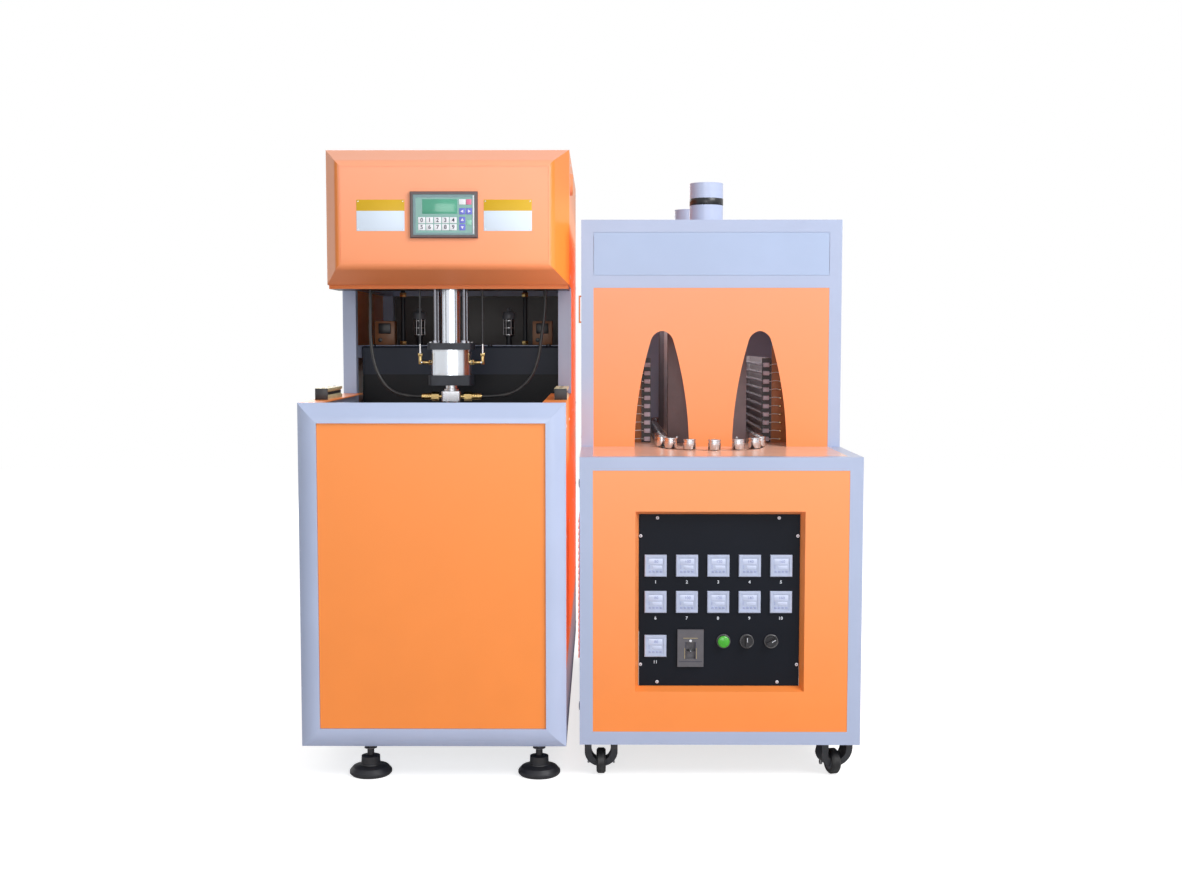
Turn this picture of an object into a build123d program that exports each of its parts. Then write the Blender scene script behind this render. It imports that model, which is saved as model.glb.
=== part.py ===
from build123d import *
from math import cos, sin, pi, radians
import os

# Semi-automatic stretch blow moulding machine: a blowing station and its rotary infrared preform heater.
# Millimetres. Z = 0 is the floor, X runs across the front, the operator stands at -Y.

# Blowing station, main sizes
blower_w = 760.0
blower_foot_h = 102.0
hood_top = 1858.0
body_depth = 1634.0
rim_proud = 35.0
bevel_w = 57.0
sheet = 3.0
tube = 40.0
hood_bevel = 48.0
seam = 2.0

# Heater, main sizes
station_gap = 38.0
heater_w = 806.0
heater_foot_h = 105.0
heater_top = 1637.0
htube = 38.0
hsheet = 2.0
cover_handle_proud = 9.0

# Shares of the main sizes: each place below grows with the size that it belongs to
wider = blower_w / 760.0
deeper = body_depth / 1634.0
taller = hood_top / 1858.0
heater_wider = heater_w / 806.0
heater_taller = heater_top / 1637.0

# Where both stations stand
total_w = blower_w + station_gap + heater_w + cover_handle_proud
BX = -total_w / 2 + blower_w / 2
HX = BX + blower_w / 2 + station_gap + heater_w / 2
YF = -(body_depth - rim_proud) / 2
YB = YF + body_depth
half_b = blower_w / 2
half_h = heater_w / 2

# Body and hood
front_cabinet_top = 1090.0 * taller
hood_bottom = 1439.0 * taller
plinth_h = 220.0 * taller
post_y = 725.0 * deeper
flange_w = 64.0
flange_short = 16.0
hood_front_y = 358.0 * deeper
hood_rim_y = 464.0 * deeper
hood_skirt = 12.0
hood_round = 24.0
hood_cross_w = 30.0
seam_depth = 1.0
door_x = 319.0 * wider
door_z = (1505.0 * taller, 1795.0 * taller)
bevel_edge = 8.0
panel_seat = 26.0
panel_play = 0.5
panel_corner = 3.0
lip_w = 22.0
vent_rows = 8
vent_z = 980.0 * taller
vent_pitch = 22.0 * taller
vent_h = 8.0
vent_len = 180.0 * wider
vent_x = 170.0 * wider
cap_proud = 8.0
cap_d = 70.0
cap_z = 1767.0 * taller
cap_y = YF + 620.0 * deeper

# Display
display_w = 207.0
display_h = 141.0
display_z = 1647.5 * taller
display_proud = 12.0
display_rim = 9.0
display_sunk = 2.5
display_body_w = 188.0
display_body_h = 122.0
display_body_d = 45.0
display_chamfer = 3.0

# Mould change rails and feet
rail_w = 38.0
rail_h = 34.0
rail_len = 233.0 * deeper
rail_y = 179.0 * deeper
rail_xs = (-347.0 * wider, 360.0 * wider)
rail_waist = 6.0
rail_steps = (9.0, 14.0, 22.0, 27.0)
foot_plate_reach = 35.0
foot_plate_t = 8.0
foot_spots = ((-194.0 * wider, 62.0), (299.0 * wider, 62.0),
              (-299.0 * wider, 1560.0 * deeper), (299.0 * wider, 1560.0 * deeper))
foot_profile = ((0, 0), (56, 0), (61, 5), (61, 14), (52, 24), (28, 30), (27, 55), (10, 58))

# Blowing head
head_y = YF + 545.0 * deeper
head_plate_t = 12.0
head_plate_d = 170.0 * deeper
stretch_tube_d = 62.0
stretch_tube_wall = 3.0
stretch_top = 1700.0 * taller
cap_w = 84.0
cap_t = 24.0
cap_corner = 8.0
plate_w = 141.0
low_plate_w = 135.0
plate_corner = 12.0
top_plate_z = 1236.0 * taller
top_plate_t = 21.0
seal_body_d = 130.0
seal_bore_d = 110.0
lower_cap_z = 1123.0 * taller
lower_cap_t = 32.0
head_rod_pitch = 92.0
head_rod_d = 9.0
nut_r = 8.0
nut_h = 8.0
hollow_rod_d = 40.0
stretch_rod_d = 14.0
running = 0.05
guide_gap = 1.0
tee_w = 61.0
tee_h = 32.0
tee_corner = 6.0
tee_z = 1071.0 * taller
nozzle_d = 40.0
nozzle_taper = 6.0
nozzle_tip_z = 1062.0 * taller
seal_piston_t = 20.0
piston_rest = 5.0
stretch_piston_t = 24.0
stretch_rest = 4.0
elbow_z = 1195.0 * taller
elbow_d = 10.0
elbow_bury = 4.0
elbow_reach = 39.0
elbow_h = 35.0
fitting_z = 1086.0 * taller
fitting_neck_d = 16.0
fitting_tail_d = 20.0
fitting_nut_r = 15.0
fitting_steps = (10.0, 34.0, 64.0)
hose_d = 10.0
hose_sides = 8
hose_fill = 0.45
hose_left = ((-150.0, 545.0, 1086.0), (-205.0, 546.0, 1108.0), (-240.0, 550.0, 1160.0),
             (-257.0, 556.0, 1225.0), (-263.0, 564.0, 1295.0), (-262.0, 572.0, 1365.0))
hose_right = ((150.0, 545.0, 1086.0), (208.0, 546.0, 1100.0), (256.0, 550.0, 1145.0),
              (279.0, 556.0, 1208.0), (288.0, 564.0, 1280.0), (300.0, 572.0, 1356.0))

# Clamp
mould_w = 380.0 * wider
mould_half_t = 170.0 * deeper
mould_top = 1012.0 * taller
mould_h = 430.0 * taller
platen_travel = 118.0 * deeper
platen_t = 40.0 * deeper
platen_w = 666.0 * wider
platen_corner = 10.0
platen_edge = 6.0
rear_platen_top = 1246.0 * taller
front_platen_w = 640.0 * wider
front_platen_top = 1040.0 * taller
rib_x = 180.0 * wider
rib_t = 20.0
rib_d = 45.0 * deeper
rib_z = (600.0 * taller, 1180.0 * taller)
boss_w = 130.0 * wider
boss_d = 30.0 * deeper
boss_h = 140.0 * taller
bed_top = 460.0 * taller
bed_x = 200.0 * wider
slide_gap = 0.3
tie_bar_d = 50.0
tie_bar_x = 265.0 * wider
tie_bar_low = 540.0 * taller
tie_bar_high = 960.0 * taller
nut_t = 32.0 * deeper
tie_nut_r = 40.0
support_y = YF + 1040.0 * deeper
support_t = 40.0 * deeper
support_clear = 6.0
crosshead_y = YF + 1420.0 * deeper
crosshead_t = 40.0 * deeper
clamp_z = 750.0 * taller
clamp_bore = 160.0
clamp_barrel_d = 190.0
clamp_barrel_len = 310.0 * deeper
clamp_cover_t = 20.0 * deeper
clamp_piston_t = 40.0 * deeper
clamp_rest = 10.0 * deeper
clamp_rod_d = 70.0
guide_r = (12.0, 9.0)
guide_len = 24.0
guide_inset = (32.0, 35.0)
guide_play = 0.5

# Bottle cavity
bottle_d = 214.0
bottle_h = 340.0 * taller
neck_d = 46.0
neck_h = 32.0 * taller
bottle_rings = 2
ring_depth = 5.0
ring_steps = (6.0, 14.0, 20.0)
ring_first = 0.22
ring_pitch = 0.18
shoulder_share = 0.62
base_push = 10.0
base_round = 12.0
base_r_shares = (0.62, 0.78)

# Air treatment set
air_shelf_z = 1246.0 * taller
air_y = YF + 980.0 * deeper
air_shelf_d = 80.0
bowl_x = 157.0 * wider
bowl_d = 35.0
bowl_h = 86.0
bowl_neck_d = 20.0
bowl_neck_h = 30.0
valve_x = 275.0 * wider
valve_size = (70.0, 56.0, 84.0)
riser_x = 214.0 * wider
riser_d = 15.0

# Conveyor of the heater
chain_pitch = 38.1
sprocket_teeth = 25
straight_share = 0.5947
straight_links = int(straight_share * body_depth / chain_pitch) + 0.5
chain_z = 896.0 * heater_taller
chain_shift = 0.25
roller_d = 15.0
roller_h = 14.0
roller_sides = 6
link_t = 3.0
link_h = 20.0
link_over = 18.0
tooth_play = 0.9
tooth_proud = 4.0
tooth_run = 10.0
disc_holes = 5
hole_share = (0.58, 0.22)
shaft_d = 30.0
shaft_over = 8.0
chain_rail_w = 14.0
chain_rail_clear = 170.0
table_top = 935.0 * heater_taller
holder_d = 38.0
holder_sides = 12
holder_top = table_top + 33.0
holder_lift = 2.0
spindle_d = 12.0
slot_w = 24.0
turn_y = YF + 407.0 * deeper
turn_r = chain_pitch / (2 * sin(pi / sprocket_teeth))
turn_y2 = turn_y + straight_links * chain_pitch
deck_z = 858.0 * heater_taller
deck_t = 6.0
deck_ys = (YF + 120.0 * deeper, YF + 620.0 * deeper, YF + 1100.0 * deeper, YF + 1520.0 * deeper)
pillar_w = 30.0
pillar_inset = 240.0 * deeper
gearbox_w = 140.0
gearbox_h = 100.0
gearbox_corner = 16.0
motor_d = 110.0
motor_low = 250.0
motor_h = 150.0

# Lamps
lamp_rows = 10
lamp_pitch = 26.6 * heater_taller
lamp_first_z = 947.0 * heater_taller
lamp_x = turn_r + 38.0
lamp_y0 = YF + 592.0 * deeper
lamp_len = 640.0 * deeper
lamp_d = 10.0
lamp_sides = 8
socket_w = 13.0
socket_len = 28.0
socket_proud = 8.0
rack_over = 22.0
rack_back = 18.0
rack_reach = 10.0
rack_inset = 6.0
rack_end_t = 3.0
reflector_w = 216.0
reflector_top = 1300.0 * heater_taller
reflector_over = 32.0

# Upper box of the heater
upper_front_y = 407.0 * deeper
arch_w = 170.0
arch_apex = 1295.0 * heater_taller
arch_shares = ((0.80, 0.52), (0.40, 0.925), (0.22, 0.98))
fascia_low = 1466.0 * heater_taller
fascia_seat_h = 12.0
fascia_seat_t = 3.0
fascia_play = 1.0
louvre_rows = 22
louvre_pitch = 19.0 * heater_taller
louvre_z = 338.0 * heater_taller
louvre_h = 14.0
louvre_proud = 5.0
louvre_lip = 3.0
louvre_run = (YF + 90.0 * deeper, YF + 430.0 * deeper)
handle_y = 470.0 * deeper
handle_z = 1320.0 * heater_taller
handle_len = 86.0
handle_d = 5.0

# Exhaust ducts
duct_dx = -6.0
duct_d = 106.0
duct_h = 126.0
duct_wall = 2.0
duct_ys = (YF + 560.0 * deeper, YF + 1481.0 * deeper)
band_z = 56.0
band_h = 22.0
band_depth = 0.75
fan_motor = (36.0, 4.0, 30.0)
spider_z = (8.0, 12.0)
spider_w = 8.0
fan_hub = (30.0, 22.0)
fan_blades = 5
blade_pitch = 32.0
blade_size = (20.0, 2.0)
blade_root = 8.0
blade_clear = 3.0

# Control panel of the heater
panel_x = HX - 2.0
panel_z = 520.0 * heater_taller
recess_w = 484.0 * heater_wider
recess_h = 520.0 * heater_taller
recess_lip = 11.0
recess_depth = 30.0
recess_play = 0.6
panel_t = 3.0
meter_w = 63.0
meter_proud = 8.0
meter_field = 48.0
meter_sunk = 1.5
meter_chamfer = 2.0
meter_dx = -3.0
meter_cols = (5, 5, 1)
meter_pitch_x = 90.0 * heater_wider
meter_row_z = (621.0 * heater_taller, 516.0 * heater_taller, 388.0 * heater_taller)
control_z = 402.0 * heater_taller
knob_d = 40.0
knob_rim = 4.0
knob_ring_t = 6.0
knob_cap_t = 14.0
grip_size = (9.0, 14.0)
breaker_dx = -82.0 * heater_wider
breaker_z = 382.0 * heater_taller
breaker_case = (75.0, 108.0, 9.0)
breaker_well = (26.0, 30.0, 18.0)
breaker_rest = -20.0
breaker_drop = 6.0
lever_size = (9.0, 18.0, 8.0)
lever_pin = (5.0, 25.0)
button_dx = 13.0 * heater_wider
button_travel = 4.0
selector_dx = (80.0 * heater_wider, 150.0 * heater_wider)
selector_rest = 60.0
screw_d = 9.0
screw_h = 3.0
screw_spots = ((-178.0, 239.0), (170.0, 239.0), (-226.0, 187.0), (224.0, 187.0),
               (-226.0, -186.0), (224.0, -186.0), (-178.0, -237.0), (168.0, -237.0))

# Casters
wheel_d = 74.0
wheel_w = 27.0
wheel_edge = 5.0
yoke_w = 96.0
yoke_arm = 20.0
yoke_depth = 34.0
yoke_knee = 72.0
yoke_side_gap = 0.5
crown_t = 5.0
plate_t = 4.0
plate_size = (90.0, 60.0)
pin_d = 14.0
trail = 18.0
axle_d = 8.0
axle_bury = 6.0
caster_dx = 341.0 * heater_wider
caster_front_y = YF + 57.0
caster_rear_y = YF + 1560.0 * deeper
caster_swing = 16.0

nodes = {}


def keep(name, *solids):
    """Adds closed solids to a named sub-part."""
    for item in solids:
        nodes.setdefault(name, []).extend(item.solids())


def block(x0, x1, y0, y1, z0, z1):
    """A box between two corners."""
    size = (x1 - x0, y1 - y0, z1 - z0)
    middle = ((x0 + x1) / 2, (y0 + y1) / 2, (z0 + z1) / 2)
    return Location(middle) * Box(*size)


def rod(d, start, length, axis="Z"):
    """A round bar that starts at a point and runs along an axis, backwards where the length is negative."""
    turns = {"X": (0, 90, 0), "Y": (-90, 0, 0), "Z": (0, 0, 0)}
    end = Align.MIN if length > 0 else Align.MAX
    bar = Cylinder(d / 2, abs(length), align=(Align.CENTER, Align.CENTER, end))
    return Location(start, turns[axis]) * bar


def slab(outline, y0, y1):
    """A flat outline, drawn in X and Z, given a thickness from y0 to y1."""
    face = Location((0, y1, 0), (90, 0, 0)) * outline
    return extrude(face, amount=y1 - y0, dir=(0, -1, 0))


def mirrored_bars(x_mid, x_in, x_out, y0, y1, z0, z1):
    """The same bar on the left and the right of a station."""
    right = block(x_mid + x_in, x_mid + x_out, y0, y1, z0, z1)
    left = block(x_mid - x_out, x_mid - x_in, y0, y1, z0, z1)
    return [left, right]


def blower_frame():
    """The welded square-tube skeleton with the bed beams and the shelf of the air set."""
    out = half_b - sheet
    inn = out - tube
    low = blower_foot_h
    back = YB - sheet
    hood_y = YF + hood_rim_y + hood_skirt
    front_h = front_cabinet_top - sheet - tube
    bed_low = bed_top - tube
    post = YF + post_y
    bars = mirrored_bars(BX, inn, out, YF, back, low, low + tube)
    for y in (YF, post, back - tube):
        bars.append(block(BX - inn, BX + inn, y, y + tube, low, low + tube))
    bars += mirrored_bars(BX, inn, out, YF, YF + tube, low + tube, front_h)
    bars += mirrored_bars(BX, inn, out, YF, post, front_h, front_h + tube)
    lower = mirrored_bars(BX, inn, out, post, post + tube, low + tube, front_cabinet_top)
    upper = mirrored_bars(BX, inn, half_b, post, post + tube, front_cabinet_top, hood_bottom)
    bars += [a + b for a, b in zip(lower, upper)]
    bars += mirrored_bars(BX, inn, out, back - tube, back, low + tube, hood_bottom)
    bars += mirrored_bars(BX, inn, out, hood_y, back, hood_bottom, hood_bottom + tube)
    bars.append(block(BX - inn, BX + inn, hood_y, hood_y + hood_cross_w, hood_bottom, hood_bottom + tube))
    for y in (post, back - tube):
        bars.append(block(BX - inn, BX + inn, y, y + tube, hood_bottom, hood_bottom + tube))
    bars.append(block(BX - inn, BX + inn, YF + tube, back - tube, low + tube, low + tube + sheet))
    for y in (YF, back - tube):
        bars.append(block(BX - inn, BX + inn, y, y + tube, bed_low - tube, bed_low))
    bars += mirrored_bars(BX, bed_x, bed_x + tube, YF, back, bed_low, bed_top)
    bars += mirrored_bars(BX, inn, out, post + tube, back - tube, air_shelf_z - tube, air_shelf_z)
    for x, y in foot_spots:
        y0, y1 = (tube, y + foot_plate_reach) if y < post_y else (y - foot_plate_reach, back - tube - YF)
        x0, x1 = (BX + x - foot_plate_reach, BX + x + foot_plate_reach)
        bars.append(block(x0, x1, YF + y0, YF + y1, low, low + foot_plate_t))
    half = air_shelf_d / 2
    shelf = block(BX - out, BX + out, air_y - half, air_y + half, air_shelf_z, air_shelf_z + sheet)
    keep("blower_frame", shelf, *bars)


def cabinet_sides():
    """The two folded side sheets of the open front cabinet, each with its top flange."""
    low = blower_foot_h
    top = front_cabinet_top
    depth = post_y + tube
    wall = block(half_b - sheet, half_b, 0, depth, low, top)
    flange = block(half_b - sheet - flange_w, half_b, 0, post_y - flange_short, top - sheet, top)
    band = block(half_b - seam_depth, half_b, 0, depth, low + plinth_h, low + plinth_h + seam)
    right = wall + flange - band
    for one in (right, mirror(right, about=Plane.YZ)):
        keep("blower_side_sheets", Location((BX, YF, 0)) * one)


def body_panels():
    """Side sheets behind the posts with the plinth line, and the vented rear panel."""
    low = blower_foot_h
    wall = block(half_b - sheet, half_b, post_y + tube, body_depth - sheet, low, hood_bottom)
    band = block(half_b - seam_depth, half_b, post_y, body_depth, low + plinth_h, low + plinth_h + seam)
    right = wall - band
    for one in (right, mirror(right, about=Plane.YZ)):
        keep("blower_side_sheets", Location((BX, YF, 0)) * one)
    back = block(BX - half_b, BX + half_b, YB - sheet, YB, low, hood_top)
    slots = Part()
    for row in range(vent_rows):
        z = vent_z + row * vent_pitch
        for x in (-1, 1):
            mid = BX + x * vent_x
            slots += block(mid - vent_len / 2, mid + vent_len / 2, YB - sheet, YB, z, z + vent_h)
    keep("blower_rear_panel", back - slots)


def front_frame():
    """The bevelled frame of the front cabinet, four mitred lengths of one folded section."""
    w = half_b
    low = blower_foot_h
    top = front_cabinet_top
    mid_z = (low + top) / 2
    half_z = (top - low) / 2
    with BuildSketch(Plane.XY) as section:
        with BuildLine():
            Line((0, 0), (0, -bevel_edge))
            TangentArc((bevel_w, -rim_proud), (0, -bevel_edge), tangent=(-1, 0))
            Polyline((bevel_w, -rim_proud), (bevel_w, -panel_seat), (bevel_w + lip_w, -panel_seat))
            Polyline((bevel_w + lip_w, -panel_seat), (bevel_w + lip_w, -panel_seat + sheet))
            Polyline((bevel_w + lip_w, -panel_seat + sheet), (bevel_w - sheet, -panel_seat + sheet))
            Line((bevel_w - sheet, -panel_seat + sheet), (bevel_w - sheet, -rim_proud + sheet))
            TangentArc((bevel_w - sheet, -rim_proud + sheet), (sheet, -bevel_edge), tangent=(-1, 0))
            Polyline((sheet, -bevel_edge), (sheet, 0), (0, 0))
        make_face()
    for angle, reach, run in ((0, w, half_z), (180, w, half_z), (90, half_z, w), (270, half_z, w)):
        bar = extrude(section.sketch, amount=run, both=True)
        bar = Location((-reach, 0, 0)) * bar
        cutter = Polyline((-reach, -run), (-reach, run), (-reach + run, 0), close=True)
        if run > reach:
            ridge = run - reach
            cutter = Polyline((-reach, -run), (-reach, run), (0, ridge), (0, -ridge), close=True)
        wedge = slab(make_face(cutter), -2 * rim_proud, rim_proud)
        piece = Rotation(0, angle, 0) * (bar & wedge)
        keep("front_bevel_frame", Location((BX, YF, mid_z)) * piece)


def front_panel():
    """The flat front panel that sits inside the bevelled frame."""
    w = half_b - bevel_w - panel_play
    low = blower_foot_h + bevel_w + panel_play
    top = front_cabinet_top - bevel_w - panel_play
    plate = block(BX - w, BX + w, YF - panel_seat - sheet, YF - panel_seat, low, top)
    keep("front_panel", fillet(plate.edges().filter_by(Axis.Y), panel_corner))


def hood_form(inset):
    """The outer form of the hood's front pan, made smaller by an inset for its inside."""
    mid_z = (hood_bottom + hood_top) / 2
    half_z = (hood_top - hood_bottom) / 2 - inset
    wide = half_b - inset
    rim = Plane(origin=(BX, YF + hood_rim_y, mid_z), x_dir=(1, 0, 0), z_dir=(0, -1, 0))
    deep = hood_rim_y - hood_front_y - inset
    base = rim * Rectangle(2 * wide, 2 * half_z)
    nose = rim.offset(deep) * Rectangle(2 * (wide - hood_bevel), 2 * (half_z - hood_bevel))
    form = loft([base, nose], ruled=True)
    form += extrude(rim * Rectangle(2 * wide, 2 * half_z), amount=-hood_skirt)
    front = form.faces().sort_by(Axis.Y)[0]
    form = fillet(front.edges(), hood_round - inset)
    belt = [e for e in form.edges() if abs(e.center().Y - (YF + hood_rim_y)) < 0.5 and e.length > 2 * half_z]
    return fillet(belt, hood_round - inset)


def hood():
    """The hood: a bevelled front pan with the panel seam, two sides and a roof sheet."""
    pan = hood_form(0) - hood_form(sheet)
    back_y = YF + hood_rim_y + hood_skirt
    low, top = door_z
    ring = block(BX - door_x, BX + door_x, YF + hood_front_y, YF + hood_front_y + seam_depth, low, top)
    ring -= block(BX - door_x + seam, BX + door_x - seam, YF, YF + hood_rim_y, low + seam, top - seam)
    pan -= ring
    wide = display_body_w / 2 + seam_depth
    high = display_body_h / 2 + seam_depth
    pan -= block(BX - wide, BX + wide, YF, YF + hood_front_y + 3 * sheet, display_z - high, display_z + high)
    keep("hood_shell", pan)
    for side in (-1, 1):
        x0, x1 = sorted((BX + side * (half_b - sheet), BX + side * half_b))
        wall = block(x0, x1, back_y, YB - sheet, hood_bottom, hood_top - sheet)
        keep("hood_shell", wall)
    keep("hood_shell", block(BX - half_b, BX + half_b, back_y, YB - sheet, hood_top - sheet, hood_top))


def display():
    """The operator display: bezel with a sunk face and the body behind the hood's front."""
    y = YF + hood_front_y
    w = display_w / 2
    h = display_h / 2
    bezel = block(BX - w, BX + w, y - display_proud, y, display_z - h, display_z + h)
    bezel = chamfer(bezel.faces().sort_by(Axis.Y)[0].edges(), display_chamfer)
    in_w = w - display_rim
    in_h = h - display_rim
    face = block(BX - in_w, BX + in_w, y - 2 * display_proud, y - display_proud + display_sunk,
                 display_z - in_h, display_z + in_h)
    in_w = display_body_w / 2
    in_h = display_body_h / 2
    body = block(BX - in_w, BX + in_w, y, y + display_body_d, display_z - in_h, display_z + in_h)
    keep("operator_display", bezel - face + body)


def mould_rails():
    """Two steel rails of waisted section on the flanges, for rolling a mould in and out."""
    half = rail_w / 2
    neck = half - rail_waist
    a, b, c, d = rail_steps
    right = [(half, 0), (half, a), (neck, b), (neck, c), (half, d), (half, rail_h)]
    left = [(-x, z) for x, z in reversed(right)]
    profile = make_face(Polyline(*right, *left, close=True))
    for x in rail_xs:
        bar = slab(profile, 0, rail_len)
        keep("mould_change_rails", Location((BX + x, YF + rail_y, front_cabinet_top)) * bar)


def feet():
    """Levelling feet: a round pad with a collar on a threaded stud."""
    stud_r = foot_profile[-1][0]
    pad = Polyline(*foot_profile, (stud_r, blower_foot_h), (0, blower_foot_h), close=True)
    turned = revolve(Plane.XZ * make_face(pad), Axis.Z)
    for x, y in foot_spots:
        keep("levelling_feet", Location((BX + x, YF + y, 0)) * turned)


def centred(x, y, w, d, z0, z1):
    """A box about a vertical axis."""
    return block(x - w / 2, x + w / 2, y - d / 2, y + d / 2, z0, z1)


def head_carrier():
    """The plate under the hood that carries the blowing head, and the stretch cylinder on it."""
    z0 = hood_bottom - head_plate_t
    y0 = YF + hood_rim_y + hood_skirt
    plate = block(BX - half_b + sheet, BX + half_b - sheet, y0, y0 + head_plate_d, z0, hood_bottom)
    plate -= rod(stretch_tube_d + 1, (BX, head_y, z0), head_plate_t)
    keep("head_carrier_plate", plate)
    low = top_plate_z + top_plate_t
    barrel = rod(stretch_tube_d, (BX, head_y, low), stretch_top - low)
    barrel -= rod(stretch_tube_d - 2 * stretch_tube_wall, (BX, head_y, low), stretch_top - low)
    cap = centred(BX, head_y, cap_w, cap_w, stretch_top, stretch_top + cap_t)
    keep("stretch_cylinder", barrel + fillet(cap.edges().filter_by(Axis.Z), cap_corner))


def head_plates():
    """The two black plates of the seal cylinder and the four rods that hang them from the carrier."""
    hole = stretch_rod_d + 2 * running
    top = centred(BX, head_y, plate_w, plate_w, top_plate_z, top_plate_z + top_plate_t)
    top = fillet(top.edges().filter_by(Axis.Z), plate_corner)
    top -= rod(hole, (BX, head_y, top_plate_z), top_plate_t)
    low = centred(BX, head_y, low_plate_w, low_plate_w, lower_cap_z, lower_cap_z + lower_cap_t)
    low = fillet(low.edges().filter_by(Axis.Z), plate_corner)
    low -= rod(hollow_rod_d + 2 * running, (BX, head_y, lower_cap_z), lower_cap_t)
    keep("seal_cylinder_plates", top, low)
    z0 = top_plate_z + top_plate_t
    reach = head_rod_pitch / 2
    for sx in (-1, 1):
        for sy in (-1, 1):
            spot = (BX + sx * reach, head_y + sy * reach)
            bar = rod(head_rod_d, (*spot, z0), hood_bottom - head_plate_t - z0)
            nut = Location((*spot, z0)) * extrude(RegularPolygon(nut_r, 6), amount=nut_h)
            keep("seal_cylinder_plates", bar + nut)


def seal_cylinder():
    """The bright barrel of the seal cylinder between its two plates."""
    z0 = lower_cap_z + lower_cap_t
    barrel = rod(seal_body_d, (BX, head_y, z0), top_plate_z - z0)
    keep("seal_cylinder_barrel", barrel - rod(seal_bore_d, (BX, head_y, z0), top_plate_z - z0))
    for side in (-1, 1):
        x = BX + side * (seal_body_d / 2 - elbow_bury)
        z = elbow_z
        leg = rod(elbow_d, (x, head_y, z), side * elbow_reach, "X")
        up = rod(elbow_d, (x + side * elbow_reach, head_y, z - elbow_d / 2), elbow_h)
        keep("seal_cylinder_barrel", leg + up - rod(seal_body_d, (BX, head_y, z0), top_plate_z - z0))


def nozzle():
    """The moving blow nozzle: seal piston, hollow rod, T-shaped air block and the tip below it."""
    axis = (BX, head_y)
    piston_z = top_plate_z - seal_piston_t - piston_rest
    body = rod(seal_bore_d - 2 * running, (*axis, piston_z), seal_piston_t)
    body += rod(hollow_rod_d, (*axis, tee_z + tee_h), piston_z - tee_z - tee_h)
    tee = centred(BX, head_y, tee_w, tee_w, tee_z, tee_z + tee_h)
    body += fillet(tee.edges().filter_by(Axis.Z), tee_corner)
    tip = Cone(nozzle_d / 2 - nozzle_taper, nozzle_d / 2, tee_z - nozzle_tip_z,
               align=(Align.CENTER, Align.CENTER, Align.MIN))
    body += Location((*axis, nozzle_tip_z)) * tip
    body -= rod(stretch_rod_d + 2 * guide_gap, (*axis, nozzle_tip_z), piston_z + seal_piston_t - nozzle_tip_z)
    keep("blow_nozzle", body)
    z = fitting_z
    first, second, last = fitting_steps
    for side in (-1, 1):
        x = BX + side * tee_w / 2
        neck = rod(fitting_neck_d, (x, head_y, z), side * first, "X")
        face = Plane(origin=(x + side * first, head_y, z), z_dir=(side, 0, 0))
        nut = face * RegularPolygon(fitting_nut_r, 6)
        tail = rod(fitting_tail_d, (x + side * second, head_y, z), side * (last - second), "X")
        keep("hose_fittings", neck + extrude(nut, amount=second - first) + tail)


def hoses():
    """Two black air hoses from the nozzle's fittings up to the carrier plate."""
    for side, points in ((-1, hose_left), (1, hose_right)):
        start = (BX + side * (tee_w / 2 + fitting_steps[-1]), head_y, fitting_z)
        end_z = hood_bottom - head_plate_t
        way = [start] + [(BX + x * wider, YF + y * deeper, z * taller) for x, y, z in points]
        way.append((way[-1][0], way[-1][1], end_z))
        path = FilletPolyline(*way, radius=corner_radii(way))
        face = Plane(origin=way[0], z_dir=Vector(*way[1]) - Vector(*way[0]))
        ring = face * RegularPolygon(hose_d / 2, hose_sides)
        keep("blow_hoses", sweep(ring, path))


def corner_radii(way):
    """The largest arcs that the runs of a hose allow."""
    radii = []
    for a, b, c in zip(way, way[1:], way[2:]):
        first = Vector(*b) - Vector(*a)
        second = Vector(*c) - Vector(*b)
        half_turn = radians(first.get_angle(second)) / 2
        radii.append(hose_fill * min(first.length, second.length) * cos(half_turn) / sin(half_turn))
    return radii


def stretch():
    """The stretch rod with its piston, rounded at the tip."""
    z0 = nozzle_tip_z + stretch_rest
    piston_z = stretch_top - stretch_piston_t - stretch_rest
    bar = rod(stretch_rod_d, (BX, head_y, z0), piston_z - z0)
    bar = fillet(bar.edges().sort_by(Axis.Z)[0], stretch_rod_d / 2 - 1)
    inner_d = stretch_tube_d - 2 * stretch_tube_wall - 2 * running
    keep("stretch_rod", bar + rod(inner_d, (BX, head_y, piston_z), stretch_piston_t))


def bottle():
    """The bottle's form, with its waist rings and shoulder, for the mould's cavity."""
    r = bottle_d / 2
    z0 = mould_top - neck_h - bottle_h
    body_top = z0 + bottle_h * shoulder_share
    inner, outer = base_r_shares
    points = [(0, z0 + base_push), (r * inner, z0 + base_push), (r * outer, z0)]
    points += [(r - base_round / 2, z0), (r, z0 + base_round)]
    low, high, last = ring_steps
    for ring in range(bottle_rings):
        base = z0 + bottle_h * (ring_first + ring_pitch * ring)
        points += [(r, base), (r - ring_depth, base + low), (r - ring_depth, base + high), (r, base + last)]
    points += [(r, body_top)]
    points += [(neck_d / 2, z0 + bottle_h), (neck_d / 2, mould_top + 1), (0, mould_top + 1)]
    profile = Polyline(*points, close=True)
    return Location((BX, head_y, 0)) * revolve(Plane.XZ * make_face(profile), Axis.Z)


def guide_cone(play):
    """A guide pin between the mould halves, or its seat with play added."""
    return Cone(guide_r[0] + play, guide_r[1] + play, guide_len + 2 * play,
                align=(Align.CENTER, Align.CENTER, Align.MIN))


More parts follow.
